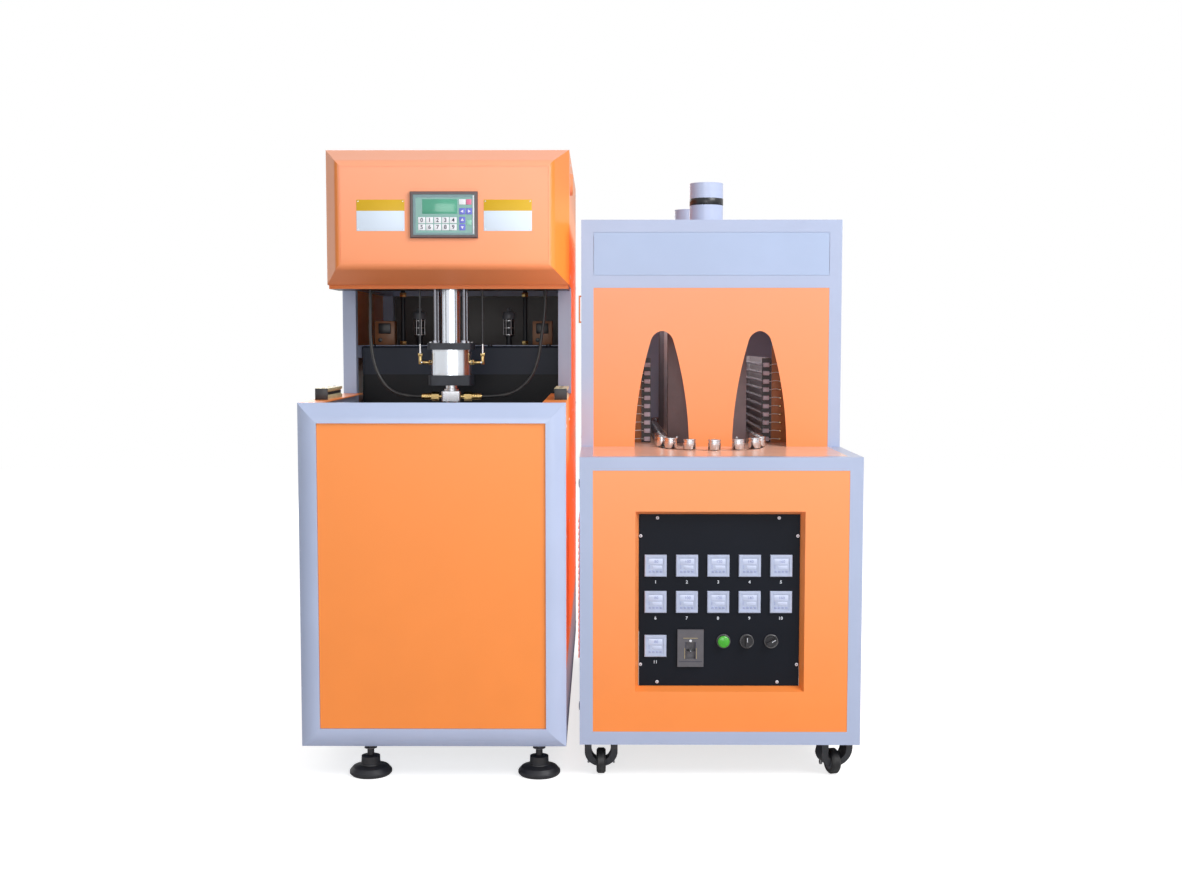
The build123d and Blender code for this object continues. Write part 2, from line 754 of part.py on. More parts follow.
def mould_halves():
    """Two mould halves at rest, open by the platens' travel, with cavity and guide pins."""
    cavity = bottle()
    z0 = mould_top - mould_h
    for side, name in ((1, "rear_mould_half"), (-1, "front_mould_half")):
        y0, y1 = sorted((head_y + side * slide_gap / 2, head_y + side * mould_half_t))
        half = block(BX - mould_w / 2, BX + mould_w / 2, y0, y1, z0, mould_top) - cavity
        for px in (-1, 1):
            for z in (z0 + guide_inset[1], mould_top - guide_inset[1]):
                spot = (BX + px * (mould_w / 2 - guide_inset[0]), head_y + side * slide_gap / 2, z)
                at = Location(spot, (90, 0, 0))
                half = half + at * guide_cone(0) if side > 0 else half - at * guide_cone(guide_play)
        keep(name, Location((0, side * platen_travel, 0)) * half)


def platens():
    """Rear and front platens, ribbed behind, with bores for the four tie bars in the rear one."""
    low = bed_top + slide_gap
    rear_y = head_y + mould_half_t + platen_travel
    rear = block(BX - platen_w / 2, BX + platen_w / 2, rear_y, rear_y + platen_t, low, rear_platen_top)
    rear = chamfer(rear.faces().sort_by(Axis.Z)[-1].edges().filter_by(Axis.X), platen_edge)
    back = rear_y + platen_t
    for x in (BX - rib_x, BX + rib_x):
        rear += block(x - rib_t / 2, x + rib_t / 2, back, back + rib_d, *rib_z)
    half = boss_h / 2
    rear += block(BX - boss_w / 2, BX + boss_w / 2, back, back + boss_d, clamp_z - half, clamp_z + half)
    for x, z in tie_spots():
        rear -= rod(tie_bar_d + 2 * running, (x, rear_y, z), platen_t, "Y")
    keep("rear_platen", rear)
    front_y = head_y - mould_half_t - platen_travel
    wide = front_platen_w / 2
    front = block(BX - wide, BX + wide, front_y - platen_t, front_y, low, front_platen_top)
    keep("front_platen", fillet(front.edges().filter_by(Axis.Y), platen_corner))


def tie_spots():
    """The four tie bars' places, in X and Z."""
    return [(BX + sx * tie_bar_x, z) for sx in (-1, 1) for z in (tie_bar_low, tie_bar_high)]


def clamp():
    """Support plate, tie bars with nuts, crosshead, clamp cylinder and its rod."""
    inn = half_b - sheet - tube
    plate = block(BX - inn, BX + inn, support_y, support_y + support_t, bed_top, air_shelf_z - support_clear)
    plate -= rod(clamp_rod_d + 2 * guide_gap, (BX, support_y, clamp_z), support_t, "Y")
    for x, z in tie_spots():
        plate -= rod(tie_bar_d + 2 * running, (x, support_y, z), support_t, "Y")
    keep("clamp_support_plate", plate)
    front_y = head_y - mould_half_t - platen_travel
    front_face = front_y - platen_t
    for x, z in tie_spots():
        bar = rod(tie_bar_d, (x, front_y, z), crosshead_y - front_y, "Y")
        keep("tie_bars", bar)
        for y, way in ((front_face, -1), (crosshead_y + crosshead_t, 1)):
            face = Plane(origin=(x, y, z), z_dir=(0, way, 0)) * RegularPolygon(tie_nut_r, 6)
            keep("tie_bars", extrude(face, amount=nut_t))
    wide = front_platen_w / 2
    head = block(BX - wide, BX + wide, crosshead_y, crosshead_y + crosshead_t, bed_top + slide_gap,
                 front_platen_top)
    keep("clamp_crosshead", fillet(head.edges().filter_by(Axis.Y), platen_corner))
    y0 = crosshead_y - clamp_barrel_len
    barrel = rod(clamp_barrel_d, (BX, y0, clamp_z), clamp_barrel_len, "Y")
    barrel -= rod(clamp_bore, (BX, y0 + clamp_cover_t, clamp_z), clamp_barrel_len - clamp_cover_t, "Y")
    barrel -= rod(clamp_rod_d + 2 * running, (BX, y0, clamp_z), clamp_cover_t, "Y")
    keep("clamp_cylinder", barrel)
    rear_back = head_y + mould_half_t + platen_travel + platen_t + boss_d
    piston_y = crosshead_y - clamp_piston_t - clamp_rest
    shaft = rod(clamp_rod_d, (BX, rear_back, clamp_z), piston_y - rear_back, "Y")
    piston = rod(clamp_bore - 2 * running, (BX, piston_y, clamp_z), clamp_piston_t, "Y")
    keep("clamp_rod", shaft + piston)


def air_set():
    """The air treatment set on its shelf: two bowls, two valve blocks and two risers."""
    z0 = air_shelf_z + sheet
    for side in (-1, 1):
        bowl = rod(bowl_d, (BX + side * bowl_x, air_y, z0 + bowl_neck_h), bowl_h)
        neck = rod(bowl_neck_d, (BX + side * bowl_x, air_y, z0), bowl_neck_h)
        keep("air_treatment_set", bowl + neck)
        wide, deep, high = valve_size
        keep("air_treatment_set", centred(BX + side * valve_x, air_y, wide, deep, z0, z0 + high))
        riser = rod(riser_d, (BX + side * riser_x, air_y, z0), hood_bottom - z0)
        keep("air_treatment_set", riser)


def vent_cap():
    """The round vent cap on the right side of the hood."""
    cap = rod(cap_d, (BX + half_b, cap_y, cap_z), cap_proud, "X")
    keep("hood_shell", chamfer(cap.edges().sort_by(Axis.X)[-1], seam))


def heater_frame():
    """The heater's welded tube skeleton, lower box and upper box."""
    out = half_h
    inn = out - htube
    low = heater_foot_h
    rim = table_top - htube
    top = heater_top - htube
    up = YF + upper_front_y
    bars = mirrored_bars(HX, inn, out, YF, YB, low, low + htube)
    bars += mirrored_bars(HX, inn, out, YF, YB, rim, table_top)
    bars += mirrored_bars(HX, inn, out, up, YB, top, heater_top)
    for y in (YF, YB - htube):
        bars += mirrored_bars(HX, inn, out, y, y + htube, low + htube, rim)
        bars.append(block(HX - inn, HX + inn, y, y + htube, low, low + htube))
        bars.append(block(HX - inn, HX + inn, y, y + htube, rim, table_top))
    for y in (up, YB - htube):
        bars += mirrored_bars(HX, inn, out, y, y + htube, table_top, top)
        bars.append(block(HX - inn, HX + inn, y, y + htube, top, heater_top))
    bars.append(block(HX - inn, HX + inn, up, up + htube, fascia_low - htube, fascia_low))
    for y in deck_ys:
        bars.append(block(HX - inn, HX + inn, y, y + htube, deck_z - htube, deck_z))
    for y in deck_ys:
        bars += mirrored_bars(HX, inn, out - hsheet, y, y + htube, deck_z, rim)
    seat_y = up + hsheet
    for z in (fascia_low, top - fascia_seat_h):
        bars.append(block(HX - inn, HX + inn, seat_y, seat_y + fascia_seat_t, z, z + fascia_seat_h))
    keep("heater_frame", *bars)


def ring_path(reach):
    """The outline at a distance from the chain's centre line, drawn about both sprockets."""
    r = turn_r + reach
    mid = (turn_y + turn_y2) / 2
    return Location((HX, mid, 0)) * Rotation(0, 0, 90) * SlotCenterToCenter(turn_y2 - turn_y, 2 * r)


def table():
    """The table sheet with the slot for the holders' spindles, and the island inside it."""
    inn = half_h - htube
    z0 = table_top - hsheet
    sheet_out = block(HX - inn, HX + inn, YF + htube, YB - htube, z0, table_top)
    hole = Location((0, 0, z0)) * extrude(ring_path(slot_w / 2), amount=hsheet)
    island = Location((0, 0, z0)) * extrude(ring_path(-slot_w / 2), amount=hsheet)
    keep("heater_table", sheet_out - hole, island)


def lower_front():
    """The lower front panel with its bevelled recess for the control panel."""
    inn = half_h - htube
    low = heater_foot_h + htube
    top = table_top - htube
    front = YF + seam_depth
    skin = block(HX - inn, HX + inn, front, front + hsheet, low, top)
    mouth = Plane(origin=(panel_x, front, panel_z), x_dir=(1, 0, 0), z_dir=(0, 1, 0))
    forms = []
    for grow in (0, 2 * hsheet):
        w = recess_w + grow
        h = recess_h + grow
        floor = mouth.offset(recess_depth) * Rectangle(w - 2 * recess_lip, h - 2 * recess_lip)
        forms.append(loft([mouth * Rectangle(w, h), floor], ruled=True))
    keep("heater_front_panel", skin + forms[1] - forms[0])


def side_sheet(y0, y1, z0, z1, rows, first, run):
    """One side sheet, its louvres pressed outwards in a column, drawn for the left side."""
    skin = block(HX - half_h, HX - half_h + hsheet, y0, y1, z0, z1)
    bumps = Part()
    slots = Part()
    for row in range(rows):
        z = first + row * louvre_pitch
        out = louvre_proud
        skin_t = hsheet / 2
        outline = Polyline((0, 0), (-out, 0), (-out, louvre_lip), (0, louvre_h), (skin_t, louvre_h),
                           (skin_t, louvre_h - hsheet), (skin_t - out, hsheet), (0, skin_t), close=True)
        bump = extrude(Plane.XZ * make_face(outline), amount=run[1] - run[0])
        bumps += Location((HX - half_h, run[1], z)) * bump
        slots += block(HX - half_h - skin_t, HX - half_h + hsheet, run[0] + louvre_lip, run[1] - louvre_lip,
                       z + skin_t, z + louvre_h - 2 * hsheet)
    return skin - slots + bumps


def heater_sides():
    """The louvred lower side panels and the plain upper side covers with their pull handles."""
    inn_z = (heater_foot_h + htube, table_top - htube)
    lower = side_sheet(YF + htube, YB - htube, *inn_z, louvre_rows, louvre_z, louvre_run)
    upper = block(HX - half_h, HX - half_h + hsheet, YF + upper_front_y + htube, YB - htube,
                  table_top, heater_top - htube)
    handle = cover_handle()
    turn = Location((2 * HX, 0, 0))
    keep("heater_side_panels", lower, turn * mirror(lower, about=Plane.YZ))
    keep("heater_side_covers", upper, turn * mirror(upper, about=Plane.YZ))
    keep("heater_side_covers", handle, turn * mirror(handle, about=Plane.YZ))


def cover_handle():
    """A thin bent-wire pull on the upper side cover."""
    r = handle_d / 2
    x = HX - half_h - cover_handle_proud + r
    y = YF + handle_y
    form = rod(handle_d, (x, y, handle_z), handle_len)
    for z in (handle_z + r, handle_z + handle_len - r):
        form += rod(handle_d, (x, y, z), cover_handle_proud - r, "X")
    return form


def arch(x):
    """A pointed arch mouth, a round-shouldered lancet, drawn in X and Z."""
    w = arch_w / 2
    base = table_top
    rise = arch_apex - base
    with BuildSketch() as mouth:
        with BuildLine():
            Line((x - w, base), (x + w, base))
            for side in (1, -1):
                spots = [(x + side * w * across, base + rise * up) for across, up in arch_shares]
                belly, shoulder, brow = spots
                ThreePointArc((x + side * w, base), belly, shoulder)
                ThreePointArc(shoulder, brow, (x, base + rise))
        make_face()
    return mouth.sketch


def upper_front():
    """The arch panel over the table and the fascia panel above it."""
    inn = half_h - htube
    y = YF + upper_front_y + seam_depth
    skin = block(HX - inn, HX + inn, y, y + hsheet, table_top, fascia_low - htube)
    for side in (-1, 1):
        skin -= slab(arch(HX + side * turn_r), y, y + hsheet)
    keep("arch_panel", skin)
    wide = inn - fascia_play
    plate = block(HX - wide, HX + wide, y - seam_depth, y + seam_depth, fascia_low + fascia_play,
                  heater_top - htube - fascia_play)
    keep("fascia_panel", plate)


def heater_shell():
    """The roof sheet, folded down behind as the rear cover, with holes under both ducts."""
    inn = half_h - htube
    roof = block(HX - inn, HX + inn, YF + upper_front_y + htube, YB - htube, heater_top - hsheet, heater_top)
    for y in duct_ys:
        roof -= rod(duct_d - 2 * duct_wall, (HX + duct_dx, y, heater_top - hsheet), hsheet)
    keep("heater_covers", roof)
    back = block(HX - inn, HX + inn, YB - hsheet, YB, heater_foot_h + htube, table_top - htube)
    high = block(HX - inn, HX + inn, YB - hsheet, YB, table_top, heater_top - htube)
    keep("heater_covers", back, high)


def ducts():
    """Two exhaust ducts on the roof, each with a band, a spider and a fan motor, and the fans in them."""
    for y, name in zip(duct_ys, ("front_exhaust_fan", "rear_exhaust_fan")):
        at = Location((HX + duct_dx, y, heater_top))
        inner = duct_d / 2 - duct_wall
        tube_wall = rod(duct_d, (0, 0, 0), duct_h) - rod(2 * inner, (0, 0, 0), duct_h)
        groove = rod(duct_d, (0, 0, band_z), band_h) - rod(duct_d - 2 * band_depth, (0, 0, band_z), band_h)
        pot_d, pot_z, pot_h = fan_motor
        spider = rod(pot_d, (0, 0, pot_z), pot_h)
        for arm in range(3):
            strut = block(0, inner + duct_wall / 2, -spider_w / 2, spider_w / 2, *spider_z)
            spider += Rotation(0, 0, 120 * arm + 30) * strut
        keep("exhaust_ducts", at * (tube_wall - groove + spider))
        hub_d, hub_h = fan_hub
        hub_z = pot_z + pot_h + slide_gap
        fan = rod(hub_d, (0, 0, hub_z), hub_h)
        span = inner - blade_root - blade_clear
        flat = Box(span, *blade_size, align=(Align.MIN, Align.CENTER, Align.CENTER))
        leaf = Location((blade_root, 0, hub_z + hub_h / 2), (blade_pitch, 0, 0)) * flat
        for blade in range(fan_blades):
            fan += Rotation(0, 0, 360 / fan_blades * blade) * leaf
        keep(name, at * fan)


def chain_points():
    """The chain's joints, one pitch apart round both sprockets, each with its heading."""
    half_turn = sprocket_teeth / 2
    total = int(2 * (half_turn + straight_links))
    spots = []
    for k in range(total):
        s = k + chain_shift
        if s < half_turn:
            a = radians(180 + 360 * s / sprocket_teeth)
            spots.append((HX + turn_r * cos(a), turn_y + turn_r * sin(a)))
            continue
        s -= half_turn
        if s < straight_links:
            spots.append((HX + turn_r, turn_y + s * chain_pitch))
            continue
        s -= straight_links
        if s < half_turn:
            a = radians(360 * s / sprocket_teeth)
            spots.append((HX + turn_r * cos(a), turn_y2 + turn_r * sin(a)))
            continue
        s -= half_turn
        spots.append((HX - turn_r, turn_y2 - s * chain_pitch))
    return spots


def chain():
    """The roller chain: links with waisted ends left out, plates above and below, a roller at each joint."""
    spots = chain_points()
    for k, (here, there) in enumerate(zip(spots, spots[1:] + spots[:1])):
        a = Vector(*here)
        b = Vector(*there)
        middle = (a + b) * 0.5
        run = (b - a).length
        turn = Vector(1, 0, 0).get_signed_angle(b - a, Vector(0, 0, 1))
        lift = link_t if k % 2 else 0
        for z in (chain_z - roller_h / 2 - link_t - lift, chain_z + roller_h / 2 + lift):
            spot = Location((middle.X, middle.Y, z + link_t / 2), (0, 0, turn))
            plate = spot * Box(run + link_over, link_h, link_t)
            keep("conveyor_chain", plate)
        ring = Plane(origin=(a.X, a.Y, chain_z - roller_h / 2)) * RegularPolygon(roller_d / 2, roller_sides)
        keep("conveyor_chain", extrude(ring, amount=roller_h))


def sprockets():
    """Two sprockets on their shafts: teeth between the chain's rollers, a hub and a shaft in the deck."""
    tip = turn_r + tooth_proud
    step = 360 / sprocket_teeth
    for y, phase in ((turn_y, 180 + chain_shift * step), (turn_y2, chain_shift * step)):
        disc = Cylinder(tip, roller_h - 2)
        gaps = Part()
        for k in range(sprocket_teeth):
            reach = roller_d / 2 + tooth_play
            low = turn_r - reach
            mid = turn_r - reach / 2
            out = turn_r + tooth_run
            seat = Polyline((low, -reach / 2), (mid, -reach), (out, -reach), (out, reach), (mid, reach),
                            (low, reach / 2), close=True)
            gaps += Rotation(0, 0, phase + step * k) * extrude(make_face(seat), amount=roller_h, both=True)
        disc -= gaps
        place, size = hole_share
        for k in range(disc_holes):
            hole = Location((turn_r * place, 0, 0)) * Cylinder(turn_r * size, roller_h)
            disc -= Rotation(0, 0, 360 / disc_holes * k) * hole
        deck_top = deck_z + deck_t - chain_z
        shaft = rod(shaft_d, (0, 0, deck_top), roller_h / 2 + shaft_over - deck_top)
        keep("chain_sprockets", Location((HX, y, chain_z)) * (disc + shaft))


def deck():
    """The conveyor deck below the chain, with bearing blocks and the pillars that carry the island."""
    inn = half_h - htube
    plate = block(HX - inn, HX + inn, deck_ys[0], deck_ys[-1] + htube, deck_z, deck_z + deck_t)
    keep("heater_frame", plate)
    pillar_top = table_top - hsheet
    for y in (turn_y + pillar_inset, (turn_y + turn_y2) / 2, turn_y2 - pillar_inset):
        keep("heater_frame", centred(HX, y, pillar_w, pillar_w, deck_z + deck_t, pillar_top))
    rail_top = chain_z - roller_h / 2 - 2 * link_t
    for x in (HX - turn_r, HX + turn_r):
        keep("heater_frame", block(x - chain_rail_w / 2, x + chain_rail_w / 2, turn_y + chain_rail_clear,
                                   turn_y2 - chain_rail_clear, deck_z + deck_t, rail_top))
    motor = rod(motor_d, (HX, turn_y2, deck_z - motor_low), motor_h)
    box = centred(HX, turn_y2, gearbox_w, gearbox_w, deck_z - gearbox_h, deck_z)
    keep("drive_gearmotor", fillet(box.edges().filter_by(Axis.Z), gearbox_corner) + motor)


def holder_form():
    """One preform holder: a round head with a mandrel on a six-sided spindle that stands on the chain."""
    base = table_top + holder_lift
    outline = Plane(origin=(0, 0, base)) * RegularPolygon(holder_d / 2, holder_sides)
    head = extrude(outline, amount=holder_top - base)
    foot_z = chain_z + roller_h / 2 + 2 * link_t
    stem = extrude(Plane(origin=(0, 0, foot_z)) * RegularPolygon(spindle_d / 2, 6), amount=base - foot_z)
    return head + stem


def holders():
    """The preform holders, one at every second joint of the chain."""
    form = holder_form()
    for x, y in chain_points()[::2]:
        keep("preform_holders", Location((x, y, 0)) * form)


def lamps():
    """Lamp racks on the outer side of both tunnels, ten rows of tube lamps in ceramic sockets."""
    top = lamp_first_z + (lamp_rows - 1) * lamp_pitch + rack_over
    foot = table_top
    y1 = lamp_y0 + lamp_len
    for side in (-1, 1):
        x = HX + side * lamp_x
        back = x + side * rack_back
        x0, x1 = sorted((back, back + side * hsheet))
        keep("lamp_racks", block(x0, x1, lamp_y0 + rack_inset, y1 - rack_inset, foot, top))
        x0, x1 = sorted((x - side * rack_reach, back + side * hsheet))
        for y in (lamp_y0 + rack_inset - rack_end_t, y1 - rack_inset):
            wall = block(x0, x1, y, y + rack_end_t, foot, top)
            for row in range(lamp_rows):
                z = lamp_first_z + row * lamp_pitch
                wall -= centred(x, y + rack_end_t / 2, socket_w, rack_end_t, z - socket_w / 2,
                                z + socket_w / 2)
            keep("lamp_racks", wall)
        for row in range(lamp_rows):
            z = lamp_first_z + row * lamp_pitch
            for y in (lamp_y0 - socket_proud, y1 + socket_proud - socket_len):
                keep("infrared_lamps", block(x - socket_w / 2, x + socket_w / 2, y, y + socket_len,
                                           z - socket_w / 2, z + socket_w / 2))
            y0 = lamp_y0 - socket_proud + socket_len
            glass = Plane(origin=(x, y0, z), z_dir=(0, 1, 0)) * RegularPolygon(lamp_d / 2, lamp_sides)
            keep("infrared_lamps", extrude(glass, amount=y1 + socket_proud - socket_len - y0))
    half = reflector_w / 2
    front = lamp_y0 - reflector_over
    back = y1 + reflector_over
    walls = block(HX - half, HX + half, front, back, foot, reflector_top)
    walls -= block(HX - half + hsheet, HX + half - hsheet, front, back, foot, reflector_top - hsheet)
    keep("tunnel_reflector", walls)


def control_panel():
    """The black control panel in the recess, its meters, breaker and screws."""
    y = YF + seam_depth + recess_depth - panel_t
    w = recess_w / 2 - recess_lip - recess_play
    h = recess_h / 2 - recess_lip - recess_play
    keep("control_panel", block(panel_x - w, panel_x + w, y, y + panel_t, panel_z - h, panel_z + h))
    for count, z in zip(meter_cols, meter_row_z):
        for col in range(count):
            keep("panel_meters", meter(panel_x + (col - 2) * meter_pitch_x + meter_dx, y, z))
    bx = panel_x + breaker_dx
    wide, high, deep = breaker_case
    case = block(bx - wide / 2, bx + wide / 2, y - deep, y, breaker_z - high / 2, breaker_z + high / 2)
    well_w, well_low, well_high = breaker_well
    well = block(bx - well_w / 2, bx + well_w / 2, y - deep, y - seam_depth, breaker_z - well_low,
                 breaker_z + well_high)
    keep("panel_fittings", case - well)
    pivot = (bx, y - plate_t, breaker_z - breaker_drop)
    toggle = Box(*lever_size, align=(Align.CENTER, Align.MAX, Align.CENTER))
    pin, pin_len = lever_pin
    across = rod(pin, (bx - pin_len / 2, pivot[1], pivot[2]), pin_len, "X")
    keep("breaker_lever", Location(pivot, (breaker_rest, 0, 0)) * toggle + across)
    for dx, dz in screw_spots:
        spot = (panel_x + dx * heater_wider, y - screw_h, panel_z + dz * heater_taller)
        keep("panel_fittings", rod(screw_d, spot, screw_h, "Y"))


def meter(x, y, z):
    """One square meter with its sunk field."""
    half = meter_w / 2
    field = meter_field / 2
    body = block(x - half, x + half, y - meter_proud, y, z - half, z + half)
    window = block(x - field, x + field, y - 2 * meter_proud, y - meter_proud + meter_sunk, z - field,
                   z + field)
    return chamfer(body.faces().sort_by(Axis.Y)[0].edges(), meter_chamfer) - window


def knobs():
    """The push button and the two selectors, each in its ring."""
    y = YF + seam_depth + recess_depth - panel_t
    face_d = knob_d - 2 * knob_rim - seam_depth
    places = (("start_button", button_dx), ("left_selector", selector_dx[0]),
              ("right_selector", selector_dx[1]))
    for name, dx in places:
        x = panel_x + dx
        ring = rod(knob_d, (x, y - knob_ring_t, control_z), knob_ring_t, "Y")
        ring -= rod(knob_d - 2 * knob_rim, (x, y - knob_ring_t, control_z), knob_ring_t - seam_depth, "Y")
        keep("panel_fittings", ring)
        if name == "start_button":
            deep = knob_cap_t - seam_depth - button_travel - slide_gap
            cap = rod(face_d, (x, y - knob_cap_t, control_z), deep, "Y")
            keep(name, chamfer(cap.edges().sort_by(Axis.Y)[0], seam))
            continue
        face_y = y - knob_ring_t - sheet
        disc = rod(face_d, (x, face_y, control_z), y - seam_depth - slide_gap - face_y, "Y")
        grip = Box(*grip_size, face_d - seam, align=(Align.CENTER, Align.MAX, Align.CENTER))
        turn = 0 if name == "left_selector" else selector_rest
        keep(name, disc + Location((x, face_y, control_z), (0, turn, 0)) * grip)


def casters():
    """Four casters: plate, U-shaped yoke with its pin, and wheel on the axle."""
    corners = (("front_left", -1, caster_front_y, 0), ("front_right", 1, caster_front_y, caster_swing),
               ("rear_left", -1, caster_rear_y, 0), ("rear_right", 1, caster_rear_y, 0))
    for name, side, y, swing in corners:
        at = Location((HX + side * caster_dx, y, 0), (0, 0, swing))
        top = heater_foot_h
        plate = centred(0, 0, *plate_size, top - plate_t, top)
        keep("heater_frame", at * (plate - rod(pin_d + 2 * running, (0, 0, top - plate_t), plate_t)))
        keep(name + "_yoke", at * yoke())
        wheel = rod(wheel_d, (-wheel_w / 2, trail, wheel_d / 2), wheel_w, "X")
        wheel = chamfer(wheel.edges().filter_by(GeomType.CIRCLE), wheel_edge)
        wheel -= rod(axle_d + 2 * running, (-wheel_w / 2, trail, wheel_d / 2), wheel_w, "X")
        keep(name + "_wheel", at * wheel)


def yoke():
    """The U-shaped yoke: two curved arms under a crown with the swivel pin, and the axle."""
    top = heater_foot_h - plate_t - slide_gap
    out = yoke_w / 2
    inn = out - yoke_arm
    knee = yoke_knee
    mid = wheel_w / 2 + yoke_side_gap
    low = knee - out
    front = Rectangle(2 * out, top - knee, align=(Align.CENTER, Align.MIN))
    profile = Location((0, knee)) * front + Location((0, knee)) * Circle(out)
    profile -= Location((0, knee)) * Rectangle(2 * inn, top - knee - crown_t, align=(Align.CENTER, Align.MIN))
    profile -= Location((0, knee)) * Circle(inn)
    profile -= Rectangle(2 * mid, 2 * knee - crown_t, align=Align.CENTER)
    form = slab(profile, -2 * trail - yoke_depth, 2 * trail + yoke_depth)
    wide = yoke_depth / 2
    side = Polyline((-wide, top), (wide, top), (trail + wide, knee - wide / 2), (trail + wide, low),
                    (trail - wide, low), (-wide, knee + wide / 2), close=True)
    cutter = extrude(Plane.YZ * make_face(side), amount=yoke_w, both=True)
    body = form & cutter
    axle = rod(axle_d, (-mid - axle_bury, trail, wheel_d / 2), 2 * (mid + axle_bury), "X")
    pin = rod(pin_d, (0, 0, top), plate_t + slide_gap - 4 * running)
    return body + axle + pin


makers = (blower_frame, cabinet_sides, body_panels, front_frame, front_panel, hood, display, mould_rails,
          feet, head_carrier, head_plates, seal_cylinder, nozzle, hoses, stretch, mould_halves, platens,
          clamp, air_set, vent_cap, heater_frame, table, lower_front, heater_sides, upper_front, heater_shell,
          ducts, chain, sprockets, deck, holders, lamps, control_panel, knobs, casters)
for make in makers:
    make()

os.makedirs("parts", exist_ok=True)
for name, solids in nodes.items():
    export_step(Compound(children=solids) if len(solids) > 1 else solids[0], f"parts/{name}.step")
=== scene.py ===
import logging
from dataclasses import dataclass
from enum import Enum
from math import cos, pi, radians, sin
from typing import Iterable, Optional, Sequence

import bmesh
import bpy
from mathutils import Matrix, Vector

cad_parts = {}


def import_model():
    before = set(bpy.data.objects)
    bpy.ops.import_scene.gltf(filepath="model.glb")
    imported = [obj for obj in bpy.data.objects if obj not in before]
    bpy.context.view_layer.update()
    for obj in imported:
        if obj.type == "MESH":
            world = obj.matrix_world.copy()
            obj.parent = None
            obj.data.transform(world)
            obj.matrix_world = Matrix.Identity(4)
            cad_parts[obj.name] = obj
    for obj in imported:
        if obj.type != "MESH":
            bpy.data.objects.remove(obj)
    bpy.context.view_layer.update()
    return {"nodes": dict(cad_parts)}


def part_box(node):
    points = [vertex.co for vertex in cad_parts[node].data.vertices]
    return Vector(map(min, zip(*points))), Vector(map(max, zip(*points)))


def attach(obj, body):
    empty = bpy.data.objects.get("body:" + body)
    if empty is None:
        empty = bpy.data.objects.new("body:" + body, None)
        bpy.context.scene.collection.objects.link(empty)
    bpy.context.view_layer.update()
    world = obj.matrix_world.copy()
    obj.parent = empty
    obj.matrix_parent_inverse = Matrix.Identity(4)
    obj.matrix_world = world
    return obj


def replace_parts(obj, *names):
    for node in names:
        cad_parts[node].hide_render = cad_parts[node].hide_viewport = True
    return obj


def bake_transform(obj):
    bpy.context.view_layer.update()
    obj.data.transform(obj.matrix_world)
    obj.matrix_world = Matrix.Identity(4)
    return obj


Colour = tuple[float, float, float]
Point = tuple[float, float, float]
Profile = tuple[tuple[float, float], ...]
Socket = bpy.types.NodeSocket
Outputs = bpy.types.NodeOutputs

log = logging.getLogger("blow_moulding_machine")

# Both stations stand in one frame, in metres, as the CAD model has them: their middles, half widths and ends
BLOWER_X = -0.4265
BLOWER_HALF = 0.380
HEATER_X = 0.3945
HEATER_HALF = 0.403
FRONT_Y = -0.7995
BACK_Y = 0.8345
# The blowing head: its axis, the hose fittings of its nozzle and the underside of the plate that carries it
HEAD_Y = -0.2545
NOZZLE_Z = 1.086
CARRIER_Z = 1.427
# The control panel's middle and face, the hood's face behind the display and the radius of the chain's turns
PANEL_X = 0.3925
PANEL_FACE_Y = -0.7715
DISPLAY_Y = -0.4415
TURN_R = 0.15199
# The left and the right of anything that has both
SIDES = (-1, 1)


def srgb(red: int, green: int, blue: int) -> Colour:
    """A screen colour as the linear colour that shaders work in.

    Args:
        red: The red of it, 0 to 255.
        green: The green of it.
        blue: The blue of it.

    Returns:
        The three linear values, 0 to 1.
    """

    def channel(value: int) -> float:
        """One channel made linear."""
        v = value / 255
        return v / 12.92 if v <= 0.04045 else ((v + 0.055) / 1.055) ** 2.4

    return channel(red), channel(green), channel(blue)


def corners(x: float, y: float, across: float, along: float) -> list[tuple[float, float]]:
    """The four corners of a rectangle round a middle, from half its sizes."""
    return [(x + i * across, y + k * along) for i in SIDES for k in SIDES]


class Axis(Enum):
    """The direction that a rod, a brushing or a zone runs along."""

    X = 0
    Y = 1
    Z = 2

    def turn(self) -> Matrix:
        """The turn that lays a piece that stands on Z along this axis."""
        angle, about = {0: (pi / 2, "Y"), 1: (-pi / 2, "X"), 2: (0.0, "X")}[self.value]
        return Matrix.Rotation(angle, 4, about)


class Nodes:
    """A node tree with a short way to add to it."""

    def __init__(self, tree: bpy.types.NodeTree) -> None:
        """Takes a tree over.

        Args:
            tree: The node tree of a material or a world.
        """
        self.tree = tree

    def add(self, kind: str, inputs: dict[str | int, float | tuple[float, ...] | Socket], **settings: str) -> Outputs:
        """Adds one node.

        Args:
            kind: Its type, without the word ShaderNode.
            inputs: A value or another node's output for each input that is not left as it comes.
            settings: The node's own settings.

        Returns:
            The outputs of the node.
        """
        node = self.tree.nodes.new(f"ShaderNode{kind}")
        for key, value in settings.items():
            setattr(node, key, value)
        for socket, value in inputs.items():
            if isinstance(value, Socket):
                self.tree.links.new(value, node.inputs[socket])
            else:
                node.inputs[socket].default_value = value
        return node.outputs


